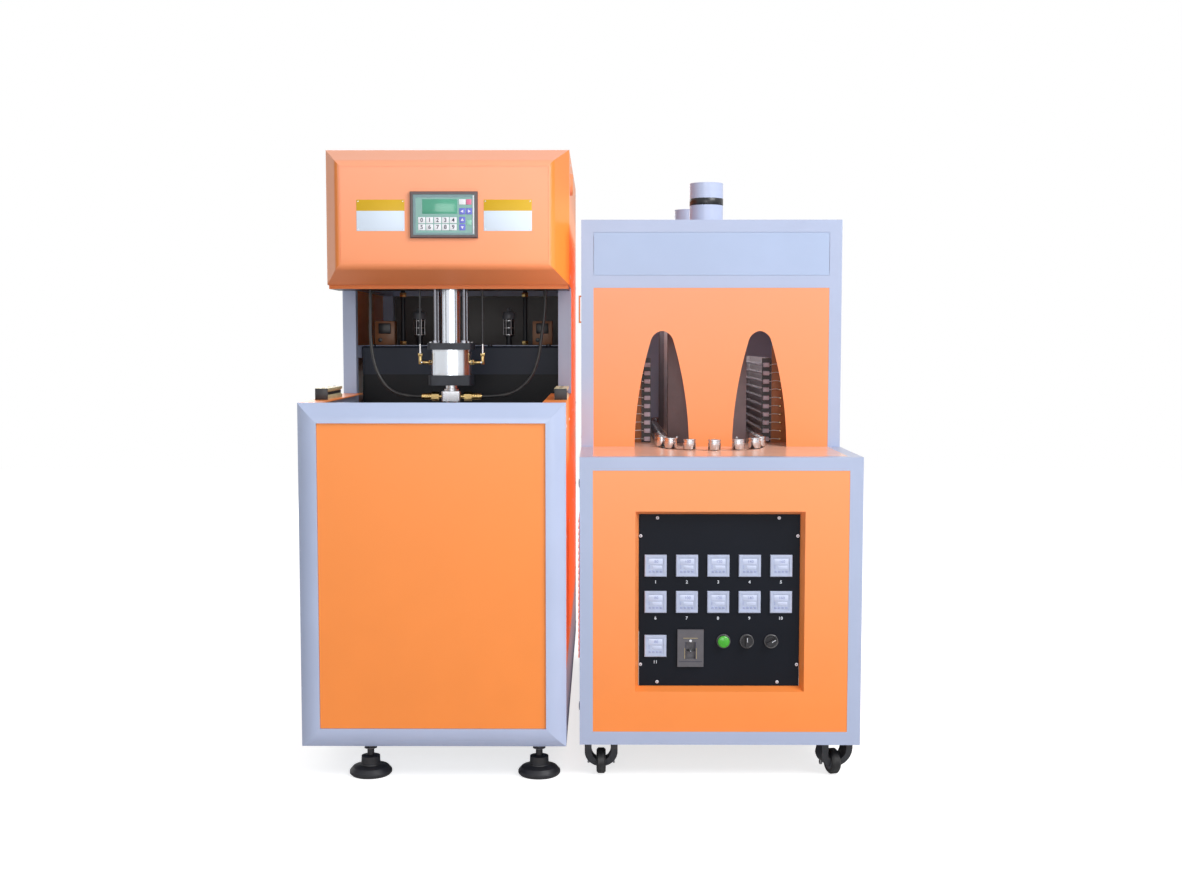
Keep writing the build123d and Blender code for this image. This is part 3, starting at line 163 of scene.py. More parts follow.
class Graph(Nodes):
    """One material's nodes, with short ways to make the few kinds that the finishes use."""

    def __init__(self, name: str) -> None:
        """Starts a material with one Principled shader.

        Args:
            name: The material's name.
        """
        self.material = bpy.data.materials.new(name)
        self.material.use_nodes = True
        super().__init__(self.material.node_tree)
        self.tree.nodes.clear()
        self.shader = self.tree.nodes.new("ShaderNodeBsdfPrincipled")
        self.add("OutputMaterial", {0: self.shader.outputs[0]})
        self.place = self.add("TexCoord", {})["Object"]

    def fix(self, socket: str, value: float | Colour) -> None:
        """Sets a value that is the same all over on the shader's own socket."""
        self.shader.inputs[socket].default_value = (*value, 1) if isinstance(value, tuple) else value

    def drive(self, socket: str, source: Socket) -> None:
        """Links a varying value to the shader."""
        self.tree.links.new(source, self.shader.inputs[socket])

    def stretch(self, scale: Point) -> Socket:
        """Object coordinates stretched by a different factor along each axis."""
        return self.add("Mapping", {"Scale": scale, "Vector": self.place})[0]

    def noise(self, scale: float, detail: float = 2.0, vector: Optional[Socket] = None) -> Socket:
        """A noise value from 0 to 1.

        Args:
            scale: How many features there are in a metre.
            detail: The octaves of finer noise.
            vector: The coordinates, or None for plain Object coordinates.

        Returns:
            The noise node's value.
        """
        return self.add("TexNoise", {"Scale": scale, "Detail": detail, "Vector": vector or self.place})["Fac"]

    def ranged(self, value: Socket, low: float, high: float, to_low: float, to_high: float) -> Socket:
        """A value taken from one range to another, held at the ends."""
        return self.add("MapRange", {"Value": value, "From Min": low, "From Max": high, "To Min": to_low,
                                     "To Max": to_high})[0]

    def mixed(self, factor: Socket, first: Colour | Socket, second: Colour | Socket) -> Socket:
        """A colour between two colours, by a factor."""
        first, second = [(*c, 1) if isinstance(c, tuple) else c for c in (first, second)]
        return self.add("Mix", {"Factor": factor, 6: first, 7: second}, data_type="RGBA")[2]

    def shaded(self, mask: Socket, colour: Colour, share: float) -> Socket:
        """A colour that has only a share of its strength where a mask is 0."""
        return self.mixed(mask, tuple(c * share for c in colour), colour)

    def product(self, first: Socket, second: Socket) -> Socket:
        """Two values multiplied."""
        return self.add("Math", {0: first, 1: second}, operation="MULTIPLY")[0]

    def along(self, axis: Axis, low: float, high: float) -> Socket:
        """A mask that goes from 0 to 1 between two places along an axis."""
        return self.ranged(self.add("SeparateXYZ", {0: self.place})[axis.value], low, high, 0.0, 1.0)

    def turned_to(self, axis: Axis, low: float, high: float) -> Socket:
        """A mask that goes from 0 to 1 as a face turns towards an axis, either way along it.

        Args:
            axis: The axis.
            low: How far the face's normal lies along the axis where the mask is 0.
            high: The same where the mask is 1.

        Returns:
            The output that holds the mask.
        """
        split = self.add("SeparateXYZ", {0: self.add("NewGeometry", {})["True Normal"]})
        size = self.add("Math", {0: split[axis.value]}, operation="ABSOLUTE")
        return self.ranged(size[0], low, high, 0.0, 1.0)

    def bump(self, height: Socket, depth: float, strength: float = 1.0) -> None:
        """Raises the surface by a value."""
        self.drive("Normal", self.add("Bump", {"Distance": depth, "Strength": strength, "Height": height})[0])

    def coat(self, tone: Socket, gloss: float, shine: float, peel: float) -> None:
        """Paints powder coat: a colour, faint hand marks in the gloss and a fine orange peel.

        Args:
            tone: The colour's output.
            gloss: The roughness in the middle of the hand marks.
            shine: The specular level.
            peel: The height of the orange peel in metres.
        """
        self.drive("Base Color", tone)
        self.drive("Roughness", self.ranged(self.noise(14.0, 2.0), 0.2, 0.8, gloss - 0.015, gloss + 0.025))
        self.fix("Specular IOR Level", shine)
        self.bump(self.noise(420.0, 1.0), peel, 0.5)


class Finish:
    """What every finish can do: make its material once and hand it out again."""

    made: dict[str, bpy.types.Material] = {}

    def material(self) -> bpy.types.Material:
        """Makes the finish's material on first use.

        Returns:
            The material.
        """
        key = f"{type(self).__name__}_{self.name}"
        if key not in Finish.made:
            graph = Graph(self.name)
            self.dress(graph)
            Finish.made[key] = graph.material
        return Finish.made[key]


@dataclass(frozen=True)
class PowderCoat(Finish):
    """Powder-coated sheet: soft orange-peel, slight clouding of the colour, faint hand marks in the gloss, and where
    asked a painted sheen that pales it towards the top and a painted shade on faces turned to the sides.
    """

    name: str
    colour: Colour
    gloss: float = 0.34
    peel: float = 0.00007
    cloud: float = 0.035
    # glow is a painted sheen: the paler colour the sheet takes towards the top, between the heights glow_from and
    # glow_to
    glow: Optional[Colour] = None
    glow_from: float = 0.6
    glow_to: float = 1.9
    # A painted shade: the deeper colour that faces turned to the sides take
    aside: Optional[Colour] = None
    shine: float = 0.5

    def dress(self, graph: Graph) -> None:
        """Builds the nodes of the finish.

        Args:
            graph: The graph of the finish's material.
        """
        tone = graph.shaded(graph.ranged(graph.noise(5.0, 3.0), 0.35, 0.65, 0, 1), self.colour, 1 - self.cloud)
        # Painted sheen: the colour pales towards glow with height
        if self.glow:
            tone = graph.mixed(graph.along(Axis.Z, self.glow_from, self.glow_to), tone, self.glow)
        # Painted shade: faces turned to the sides along X take a deeper colour
        if self.aside:
            tone = graph.mixed(graph.turned_to(Axis.X, 0.2, 0.5), tone, self.aside)
        graph.coat(tone, self.gloss, self.shine, self.peel)


@dataclass(frozen=True)
class BandedCoat(Finish):
    """Two powder coats on one sheet, with a straight masked edge between them, and where asked a near-black inner
    face that is painted shade.
    """

    name: str
    lower: Colour
    upper: Colour
    level: float
    axis: Axis = Axis.Z
    gloss: float = 0.34
    # A painted shade: the near-black of the sheet's inner face, in front of the level skin along Y
    inside: Optional[Colour] = None
    skin: float = 0.0
    shine: float = 0.5

    def dress(self, graph: Graph) -> None:
        """Builds the nodes of the finish.

        Args:
            graph: The graph of the finish's material.
        """
        cloud = graph.ranged(graph.noise(5.0, 3.0), 0.35, 0.65, 0, 1)
        edge = graph.along(self.axis, self.level - 0.0004, self.level + 0.0004)
        tone = graph.mixed(edge, graph.shaded(cloud, self.lower, 0.97), graph.shaded(cloud, self.upper, 0.97))
        # Painted shade: the sheet turns near black in front of skin
        if self.inside:
            tone = graph.mixed(graph.along(Axis.Y, self.skin - 0.0003, self.skin + 0.0003), self.inside, tone)
        graph.coat(tone, self.gloss, self.shine, 0.00007)


@dataclass(frozen=True)
class Steel(Finish):
    """Bare metal with fine tool marks along one axis, from rough-ground to hard chrome."""

    name: str
    colour: Colour
    roughness: float = 0.3
    marks: Axis = Axis.X
    depth: float = 0.00002
    tarnish: float = 0.15
    metallic: float = 1.0

    def dress(self, graph: Graph) -> None:
        """Builds the nodes of the finish.

        Args:
            graph: The graph of the finish's material.
        """
        scale = [900.0, 900.0, 900.0]
        scale[self.marks.value] = 12.0
        streaks = graph.noise(1.0, 3.0, graph.stretch(tuple(scale)))
        cloud = graph.noise(22.0, 4.0)
        dull = tuple(c * (1 - self.tarnish) for c in self.colour)
        graph.drive("Base Color", graph.mixed(graph.ranged(cloud, 0.35, 0.7, 0, 1), self.colour, dull))
        low, high = self.roughness * 0.75, self.roughness * 1.35
        graph.drive("Roughness", graph.ranged(streaks, 0.25, 0.75, low, high))
        graph.fix("Metallic", self.metallic)
        graph.bump(streaks, self.depth, 0.6)


@dataclass(frozen=True)
class DarkAndBright(Finish):
    """Blackened plates on one node with bright rods above a level."""

    name: str
    dark: Colour
    bright: Colour
    level: float

    def dress(self, graph: Graph) -> None:
        """Builds the nodes of the finish.

        Args:
            graph: The graph of the finish's material.
        """
        upper = graph.along(Axis.Z, self.level - 0.0003, self.level + 0.0003)
        cloud = graph.ranged(graph.noise(30.0, 4.0), 0.3, 0.7, 0.0, 1.0)
        black = graph.mixed(cloud, self.dark, tuple(c * 1.8 for c in self.dark))
        graph.drive("Base Color", graph.mixed(upper, black, self.bright))
        graph.drive("Metallic", graph.ranged(upper, 0, 1, 0.2, 1.0))
        graph.drive("Roughness", graph.ranged(upper, 0, 1, 0.42, 0.16))
        graph.bump(graph.noise(600.0, 2.0), 0.00004, 0.5)


@dataclass(frozen=True)
class Moulded(Finish):
    """Moulded plastic with a fine spark-eroded grain."""

    name: str
    colour: Colour
    roughness: float = 0.45
    grain: float = 0.00005
    shine: float = 0.5

    def dress(self, graph: Graph) -> None:
        """Builds the nodes of the finish.

        Args:
            graph: The graph of the finish's material.
        """
        cloud = graph.ranged(graph.noise(60.0, 3.0), 0.35, 0.65, 0, 1)
        graph.drive("Base Color", graph.shaded(cloud, self.colour, 0.9))
        low, high = self.roughness - 0.05, self.roughness + 0.08
        graph.drive("Roughness", graph.ranged(graph.noise(90.0, 2.0), 0.3, 0.7, low, high))
        graph.fix("Specular IOR Level", self.shine)
        graph.bump(graph.noise(1400.0, 1.0), self.grain, 0.6)


@dataclass(frozen=True)
class Rubber(Finish):
    """Black rubber, dusty in patches, with a matt skin."""

    name: str
    colour: Colour = (0.012, 0.012, 0.014)
    dust: Colour = (0.05, 0.048, 0.046)

    def dress(self, graph: Graph) -> None:
        """Builds the nodes of the finish.

        Args:
            graph: The graph of the finish's material.
        """
        dusty = graph.ranged(graph.noise(45.0, 5.0), 0.45, 0.8, 0, 1)
        graph.drive("Base Color", graph.mixed(dusty, self.colour, self.dust))
        graph.drive("Roughness", graph.ranged(dusty, 0, 1, 0.42, 0.75))
        graph.bump(graph.noise(900.0, 2.0), 0.00008, 0.5)


@dataclass(frozen=True)
class LampWare(Finish):
    """A lamp's clear middle and its ceramic ends on one node, told apart along Y."""

    name: str
    tube: Colour
    ceramic: Colour
    front: float
    back: float

    def dress(self, graph: Graph) -> None:
        """Builds the nodes of the finish.

        Args:
            graph: The graph of the finish's material.
        """
        near = graph.along(Axis.Y, self.front, self.front + 0.0004)
        far = graph.along(Axis.Y, self.back + 0.0004, self.back)
        middle = graph.product(near, far)
        cloud = graph.noise(160.0, 3.0)
        chalk = graph.mixed(cloud, self.ceramic, tuple(c * 0.86 for c in self.ceramic))
        graph.drive("Base Color", graph.mixed(middle, chalk, self.tube))
        graph.drive("Roughness", graph.ranged(middle, 0, 1, 0.62, 0.12))
        graph.bump(graph.noise(900.0, 2.0), 0.00004, 0.4)


@dataclass(frozen=True)
class Screen(Finish):
    """A liquid-crystal field under clear foil, with its faint rows of dots."""

    name: str
    colour: Colour
    dots: float = 1500.0

    def dress(self, graph: Graph) -> None:
        """Builds the nodes of the finish.

        Args:
            graph: The graph of the finish's material.
        """
        fine = graph.noise(self.dots, 0.0)
        cloud = graph.noise(18.0, 2.0)
        lit = graph.shaded(graph.ranged(cloud, 0.3, 0.7, 0, 1), self.colour, 0.88)
        graph.drive("Base Color", graph.mixed(graph.ranged(fine, 0.3, 0.7, 0, 0.35), lit,
                                              tuple(c * 0.8 for c in self.colour)))
        graph.drive("Roughness", graph.ranged(cloud, 0.3, 0.7, 0.12, 0.2))
        graph.fix("Coat Weight", 0.4)
        graph.fix("Coat Roughness", 0.08)


# The two colours of the blowing station's body and the level where they meet
GREY_LILAC = srgb(175, 187, 216)
BODY_ORANGE = srgb(252, 146, 70)
PLINTH_Z = 0.323


class Palette:
    """The finishes of this machine, each under the name of what it is on."""

    # The hood's, front panel's, heater's and arch's coats pale towards the top by painted sheen; the hood's faces
    # turned to the sides are deepened by painted shade.
    hood_orange = PowderCoat("hood_orange_coat", srgb(252, 150, 92), 0.36, glow=srgb(255, 170, 130),
                             glow_from=1.40, glow_to=1.80, aside=srgb(244, 138, 54))
    front_orange = PowderCoat("front_orange_coat", srgb(255, 147, 64), 0.34, glow=srgb(255, 149, 70),
                              glow_from=0.2, glow_to=1.05)
    heater_orange = PowderCoat("heater_orange_coat", srgb(255, 146, 68), 0.36, glow=srgb(255, 158, 100),
                               glow_from=0.2, glow_to=0.9)
    arch_orange = PowderCoat("arch_orange_coat", srgb(252, 152, 90), 0.36, glow=srgb(250, 157, 113),
                             glow_from=0.95, glow_to=1.45)
    table_orange = PowderCoat("table_orange_coat", srgb(240, 190, 166), 0.24)
    side_orange = BandedCoat("side_orange_coat", GREY_LILAC, BODY_ORANGE, PLINTH_Z)
    # The rear panel's inner face is near black by painted shade, for the dark inside the bay.
    rear_orange = BandedCoat("rear_orange_coat", GREY_LILAC, BODY_ORANGE, PLINTH_Z,
                             inside=(0.035, 0.016, 0.012), skin=BACK_Y - 0.001)
    grey = PowderCoat("frame_grey_coat", GREY_LILAC, 0.30)
    bevel_grey = PowderCoat("bevel_grey_coat", srgb(186, 199, 230), 0.20, cloud=0.04)
    fascia_grey = PowderCoat("fascia_grey_coat", srgb(171, 188, 220), 0.34)
    duct_grey = PowderCoat("duct_grey_coat", srgb(190, 200, 228), 0.28)
    gear_grey = PowderCoat("gear_grey_coat", srgb(120, 128, 140), 0.45, peel=0.0003)
    black_coat = PowderCoat("black_coat", (0.012, 0.014, 0.020), 0.42, peel=0.0002, cloud=0.2, shine=0.3)
    panel_black = PowderCoat("panel_black_coat", (0.008, 0.010, 0.016), 0.42, peel=0.0001, cloud=0.15, shine=0.12)
    # The head carrier plate is orange only on its front edge; behind it the plate is near black, painted shade for
    # the dark underside of the bay's top.
    carrier = BandedCoat("carrier_edge_coat", srgb(226, 128, 66), (0.008, 0.009, 0.012), FRONT_Y + 0.4766, Axis.Y,
                         shine=0.25)
    # The rear platen is lighter and bluish above 1.150 m: a painted sheen on its upper part.
    platen_black = BandedCoat("platen_black_coat", (0.007, 0.008, 0.011), (0.024, 0.031, 0.050), 1.150, gloss=0.42,
                              shine=0.2)
    chrome = Steel("chrome_tube_skin", (0.76, 0.80, 0.86), 0.15, Axis.Z, 0.000004, 0.04)
    cylinder = Steel("cylinder_skin", (0.72, 0.76, 0.82), 0.22, Axis.Z, 0.000006, 0.05)
    rod_chrome = Steel("rod_chrome_skin", (0.84, 0.85, 0.87), 0.12, Axis.Y, 0.000004, 0.05)
    ground = Steel("ground_steel", (0.50, 0.50, 0.52), 0.30, Axis.X)
    bright = Steel("bright_steel", (0.66, 0.67, 0.70), 0.22, Axis.Z, 0.00001, 0.08)
    dark_steel = Steel("blackened_steel", (0.09, 0.09, 0.10), 0.42, Axis.X, 0.00003, 0.3)
    milled = Steel("milled_aluminium", (0.78, 0.79, 0.81), 0.27, Axis.Z, 0.00002, 0.08)
    reflector = Steel("rolled_reflector", (0.80, 0.70, 0.72), 0.46, Axis.Y, 0.00002, 0.12, 0.15)
    reflector_end = Steel("reflector_end_skin", (0.21, 0.165, 0.18), 0.50, Axis.Z, 0.00002, 0.12, 0.1)
    rack = BandedCoat("rack_coat", (0.040, 0.034, 0.038), (0.62, 0.58, 0.60), FRONT_Y + 0.5985, Axis.Y, 0.40)
    zinc = Steel("yellow_zinc", (0.78, 0.68, 0.42), 0.36, Axis.Y, 0.00003, 0.25, 0.4)
    brass = Steel("brass_fitting", (0.66, 0.47, 0.20), 0.25, Axis.X, 0.00002, 0.25)
    nickel = Steel("nickel_wire", (0.82, 0.80, 0.80), 0.35, Axis.X, 0.00001, 0.1)
    lead_sleeve = Moulded("lead_sleeve_fibre", srgb(224, 216, 214), 0.6, 0.00003)
    head_plates = DarkAndBright("head_plates_black", (0.010, 0.012, 0.018), (0.17, 0.17, 0.19), 1.258)
    lamps = LampWare("lamp_ware", (0.78, 0.74, 0.78), (0.90, 0.85, 0.93), FRONT_Y + 0.612, FRONT_Y + 1.212)
    hose = Rubber("hose_rubber", (0.010, 0.010, 0.012))
    tyre = Rubber("tyre_rubber")
    yoke_steel = PowderCoat("yoke_black_coat", (0.030, 0.032, 0.038), 0.34, peel=0.0001, cloud=0.15)
    band_black = Moulded("band_rubber", (0.007, 0.008, 0.011), 0.30, 0.00003)
    seal_brown = Moulded("seal_rubber", (0.085, 0.060, 0.055), 0.5, 0.00004)
    rail_black = PowderCoat("rail_black_coat", (0.020, 0.020, 0.024), 0.4, peel=0.0001, cloud=0.15)
    foot_steel = Steel("foot_black_steel", (0.16, 0.16, 0.18), 0.34, Axis.Z, 0.00002, 0.2)
    hub_grey = Moulded("hub_grey_nylon", (0.10, 0.10, 0.115), 0.40)
    cap_grey = Moulded("cap_grey_alloy", (0.11, 0.12, 0.14), 0.35)
    foot = Moulded("foot_nylon", (0.018, 0.018, 0.022), 0.42)
    black_plastic = Moulded("black_plastic", (0.016, 0.016, 0.020), 0.36)
    bezel = Moulded("bezel_plastic", srgb(96, 82, 84), 0.38)
    meter_case = Moulded("meter_case_plastic", srgb(184, 194, 220), 0.40)
    switch_grey = Moulded("switch_grey_plastic", srgb(92, 90, 96), 0.42)
    green = Moulded("green_cap_plastic", srgb(66, 176, 40), 0.20, 0.00001, 0.6)
    white_key = Moulded("white_key_foil", srgb(238, 240, 246), 0.35, 0.00002)
    blue_key = Moulded("blue_key_foil", srgb(112, 118, 214), 0.35, 0.00002)
    rose_key = Moulded("rose_key_foil", srgb(226, 120, 156), 0.35, 0.00002)
    pale_key = Moulded("pale_key_foil", srgb(150, 208, 186), 0.35, 0.00002)
    ink = Moulded("dark_ink", srgb(52, 50, 70), 0.5, 0.00001)
    white_ink = Moulded("white_ink", srgb(226, 232, 242), 0.5, 0.00001)
    beige_ink = Moulded("beige_ink", srgb(196, 178, 128), 0.5, 0.00001)
    notice = BandedCoat("notice_plate_coat", srgb(222, 236, 252), srgb(214, 172, 20), 1.6600, gloss=0.4)
    bezel_pale = Moulded("bezel_pale_plastic", srgb(120, 150, 156), 0.36, 0.00002)
    meter_ink = Moulded("meter_ink", srgb(150, 160, 205), 0.4, 0.00001)
    meter_key = Moulded("meter_key_rubber", srgb(160, 170, 208), 0.5, 0.00002)
    rim_grey = Moulded("rim_grey_plastic", srgb(84, 84, 86), 0.30, 0.00002)
    screw_white = Moulded("screw_white_coat", srgb(216, 214, 222), 0.35, 0.00002)
    ceramic = Moulded("ceramic_white", srgb(206, 198, 214), 0.6, 0.0001)
    amber = Moulded("amber_block_plastic", (0.26, 0.09, 0.02), 0.4)
    board = Moulded("terminal_board_laminate", (0.46, 0.17, 0.06), 0.5, 0.00003)
    air_tube = Moulded("air_tube_plastic", (0.018, 0.018, 0.022), 0.3, 0.00001)
    face_foil = Screen("display_foil", srgb(96, 158, 148), 700.0)
    glass_green = Screen("display_glass", srgb(82, 170, 140))
    meter_glass = Screen("meter_glass", srgb(206, 216, 244))


def centreline(way: Sequence[Point]) -> list[Point]:
    """The smooth line that a route of control points gives.

    Args:
        way: The route's points.

    Returns:
        The points of the line, close together.
    """
    curve = bpy.data.curves.new("route", "CURVE")
    curve.dimensions = "3D"
    curve.resolution_u = 10
    spline = curve.splines.new("NURBS")
    spline.points.add(len(way) - 1)
    for point, place in zip(spline.points, way):
        point.co = (*place, 1.0)
    spline.order_u = 3
    spline.use_endpoint_u = True
    held = bpy.data.objects.new("route", curve)
    bpy.context.scene.collection.objects.link(held)
    bpy.context.view_layer.update()
    mesh = bpy.data.meshes.new_from_object(held)
    line = [tuple(v.co) for v in mesh.vertices]
    bpy.data.objects.remove(held)
    bpy.data.curves.remove(curve)
    bpy.data.meshes.remove(mesh)
    return line


class Work:
    """A mesh that grows from bmesh operators and becomes one named piece."""

    def __init__(self, name: str) -> None:
        """Starts an empty mesh.

        Args:
            name: The piece's name.
        """
        self.name = name
        self.bm = bmesh.new()

    def box(self, low: Point, high: Point, bevel: float = 0.0, segments: int = 2,
            turn: Optional[Matrix] = None) -> None:
        """Adds a box with softened edges.

        Args:
            low: One corner.
            high: The corner across from it.
            bevel: The radius of its edges.
            segments: The steps of that radius.
            turn: A turn about its middle, or None.
        """
        size = [abs(b - a) for a, b in zip(low, high)]
        middle = (Vector(high) + Vector(low)) / 2
        place = Matrix.Translation(middle) @ (turn or Matrix.Identity(4)) @ Matrix.Diagonal((*size, 1.0))
        made = bmesh.ops.create_cube(self.bm, size=1.0, matrix=place)["verts"]
        if bevel > 0:
            self.soften(dict.fromkeys(e for v in made for e in v.link_edges), bevel, segments)

    def plate(self, x: float, y: float, z: float, wide: float, high: float, proud: float, bevel: float = 0.0001,
              segments: int = 1) -> None:
        """Adds a thin plate on a surface that faces the front.

        Args:
            x: The middle of its width.
            y: The surface that it lies on.
            z: The middle of its height.
            wide: Its width.
            high: Its height.
            proud: How far it stands off the surface.
            bevel: The radius of its edges.
            segments: The steps of that radius.
        """
        self.box((x - wide / 2, y - proud, z - high / 2), (x + wide / 2, y, z + high / 2), bevel, segments)

    def soften(self, edges: Iterable[bmesh.types.BMEdge], radius: float, segments: int = 2) -> None:
        """Rounds some edges."""
        bmesh.ops.bevel(self.bm, geom=list(edges), offset=radius, offset_type="OFFSET", affect="EDGES",
                        segments=segments, profile=0.5, material=-1, clamp_overlap=True)

    def rod(self, start: Point, axis: Axis, length: float, radius: float, sides: int = 24, bevel: float = 0.0,
            tip: Optional[float] = None) -> None:
        """Adds a round or many-sided bar.

        Args:
            start: The middle of its first end.
            axis: The way it runs.
            length: Its length, negative to run backwards.
            radius: Its radius at the first end.
            sides: How many sides it has.
            bevel: The radius of the edges at its ends.
            tip: Its radius at the far end, where it differs.
        """
        step = Vector((0, 0, 0))
        step[axis.value] = length / 2
        first, second = (radius, radius if tip is None else tip)
        if length < 0:
            first, second = second, first
        place = Matrix.Translation(Vector(start) + step) @ axis.turn()
        made = bmesh.ops.create_cone(self.bm, cap_ends=True, cap_tris=False, segments=sides, radius1=first,
                                     radius2=second, depth=abs(length), matrix=place)["verts"]
        if bevel > 0:
            edges = dict.fromkeys(e for v in made for e in v.link_edges)
            self.soften([e for e in edges if any(len(f.verts) == sides for f in e.link_faces)], bevel, 2)

    def ring(self, centre: Point, axis: Axis, inner: float, outer: float, thick: float, steps: int = 32) -> None:
        """Adds a flat ring, or a disc where its inner radius is 0.

        Args:
            centre: The middle of its lower face.
            axis: The axis it is turned about.
            inner: The radius of its hole.
            outer: Its own radius.
            thick: Its thickness.
            steps: The steps of the full turn.
        """
        self.turned(centre, axis, ((inner, 0.0), (outer, 0.0), (outer, thick), (inner, thick)), steps)

    def turned(self, centre: Point, axis: Axis, profile: Profile, steps: int = 32) -> None:
        """Adds a turned piece.

        Args:
            centre: A point on its axis.
            axis: The axis it is turned about.
            profile: The pairs of radius and height that its closed outline goes through.
            steps: The steps of the full turn.
        """
        part = bmesh.new()
        ring = [part.verts.new((r, 0, h)) for r, h in profile]
        edges = [part.edges.new((a, b)) for a, b in zip(ring, ring[1:] + ring[:1])]
        bmesh.ops.spin(part, geom=ring + edges, cent=(0, 0, 0), axis=(0, 0, 1), dvec=(0, 0, 0), angle=2 * pi,
                       steps=steps, use_merge=True, use_duplicate=False)
        bmesh.ops.remove_doubles(part, verts=part.verts, dist=1e-6)
        bmesh.ops.recalc_face_normals(part, faces=part.faces)
        bmesh.ops.transform(part, matrix=Matrix.Translation(centre) @ axis.turn(), verts=part.verts)
        self.join(part)

    def join(self, part: bmesh.types.BMesh) -> None:
        """Takes another mesh in and frees it.

        Args:
            part: The mesh, in metres and in its place.
        """
        held = bpy.data.meshes.new("held")
        part.to_mesh(held)
        part.free()
        self.bm.from_mesh(held)
        bpy.data.meshes.remove(held)

    def words(self, text: str, size: float, at: Point, depth: float = 0.0003, bold: float = 0.0) -> None:
        """Adds plain figures that face the front.

        Args:
            text: The figures.
            size: Their height in metres.
            at: Their middle, on the surface.
            depth: How far they stand proud.
            bold: How much wider the strokes are drawn.
        """
        curve = bpy.data.curves.new("figures", "FONT")
        curve.body = text
        curve.size = size * 1.38
        curve.align_x = "CENTER"
        curve.align_y = "CENTER"
        curve.extrude = depth / 2
        curve.offset = bold
        curve.resolution_u = 3
        held = bpy.data.objects.new("figures", curve)
        bpy.context.scene.collection.objects.link(held)
        bpy.context.view_layer.update()
        mesh = bpy.data.meshes.new_from_object(held)
        mesh.transform(Matrix.Translation(Vector(at) - Vector((0, depth / 2, 0))) @ Matrix.Rotation(pi / 2, 4, "X"))
        self.bm.from_mesh(mesh)
        bpy.data.objects.remove(held)
        bpy.data.curves.remove(curve)
        bpy.data.meshes.remove(mesh)

    def tube(self, line: Sequence[Point], radius: float, sides: int = 12) -> None:
        """Adds a closed tube along a smooth middle line.

        Args:
            line: The points of its middle line, close together.
            radius: Its radius.
            sides: How many sides it has.
        """
        points = [Vector(p) for p in line]
        last = len(points) - 1
        side = Vector((0, 1, 0))
        rings = []
        for i, point in enumerate(points):
            ahead = (points[min(i + 1, last)] - points[max(i - 1, 0)]).normalized()
            side = (side - ahead * side.dot(ahead)).normalized()
            other = ahead.cross(side)
            turns = [2 * pi * k / sides for k in range(sides)]
            rings.append([self.bm.verts.new(point + radius * (cos(a) * side + sin(a) * other)) for a in turns])
        for ring, following in zip(rings, rings[1:]):
            for k in range(sides):
                nxt = (k + 1) % sides
                self.bm.faces.new((ring[k], ring[nxt], following[nxt], following[k]))
        self.bm.faces.new(list(reversed(rings[0])))
        self.bm.faces.new(rings[-1])

    def piece(self, look: Finish, slot: Optional[str] = None, sharp: float = 35.0) -> bpy.types.Object:
        """Turns the mesh into an object with its finish, not riding on anything yet.

        Args:
            look: Its finish.
            slot: The record's material slot, or None; not used.
            sharp: The angle in degrees over which an edge stays crisp.

        Returns:
            The new object.
        """
        mesh = bpy.data.meshes.new(self.name)
        self.bm.to_mesh(mesh)
        self.bm.free()
        mesh.materials.append(look.material())
        for face in mesh.polygons:
            face.use_smooth = True
        mesh.set_sharp_from_angle(angle=radians(sharp))
        piece = bpy.data.objects.new(self.name, mesh)
        bpy.context.scene.collection.objects.link(piece)
        return piece

    def finish(self, look: Finish, body: str = "machine", slot: Optional[str] = None) -> bpy.types.Object:
        """Turns the mesh into a piece that rides on a body.

        Args:
            look: Its finish.
            body: The CAD body that it moves with.
            slot: The record's material slot, or None.

        Returns:
            The new object.
        """
        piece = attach(self.piece(look, slot), body)
        log.info("%s rides on %s", self.name, body)
        return piece


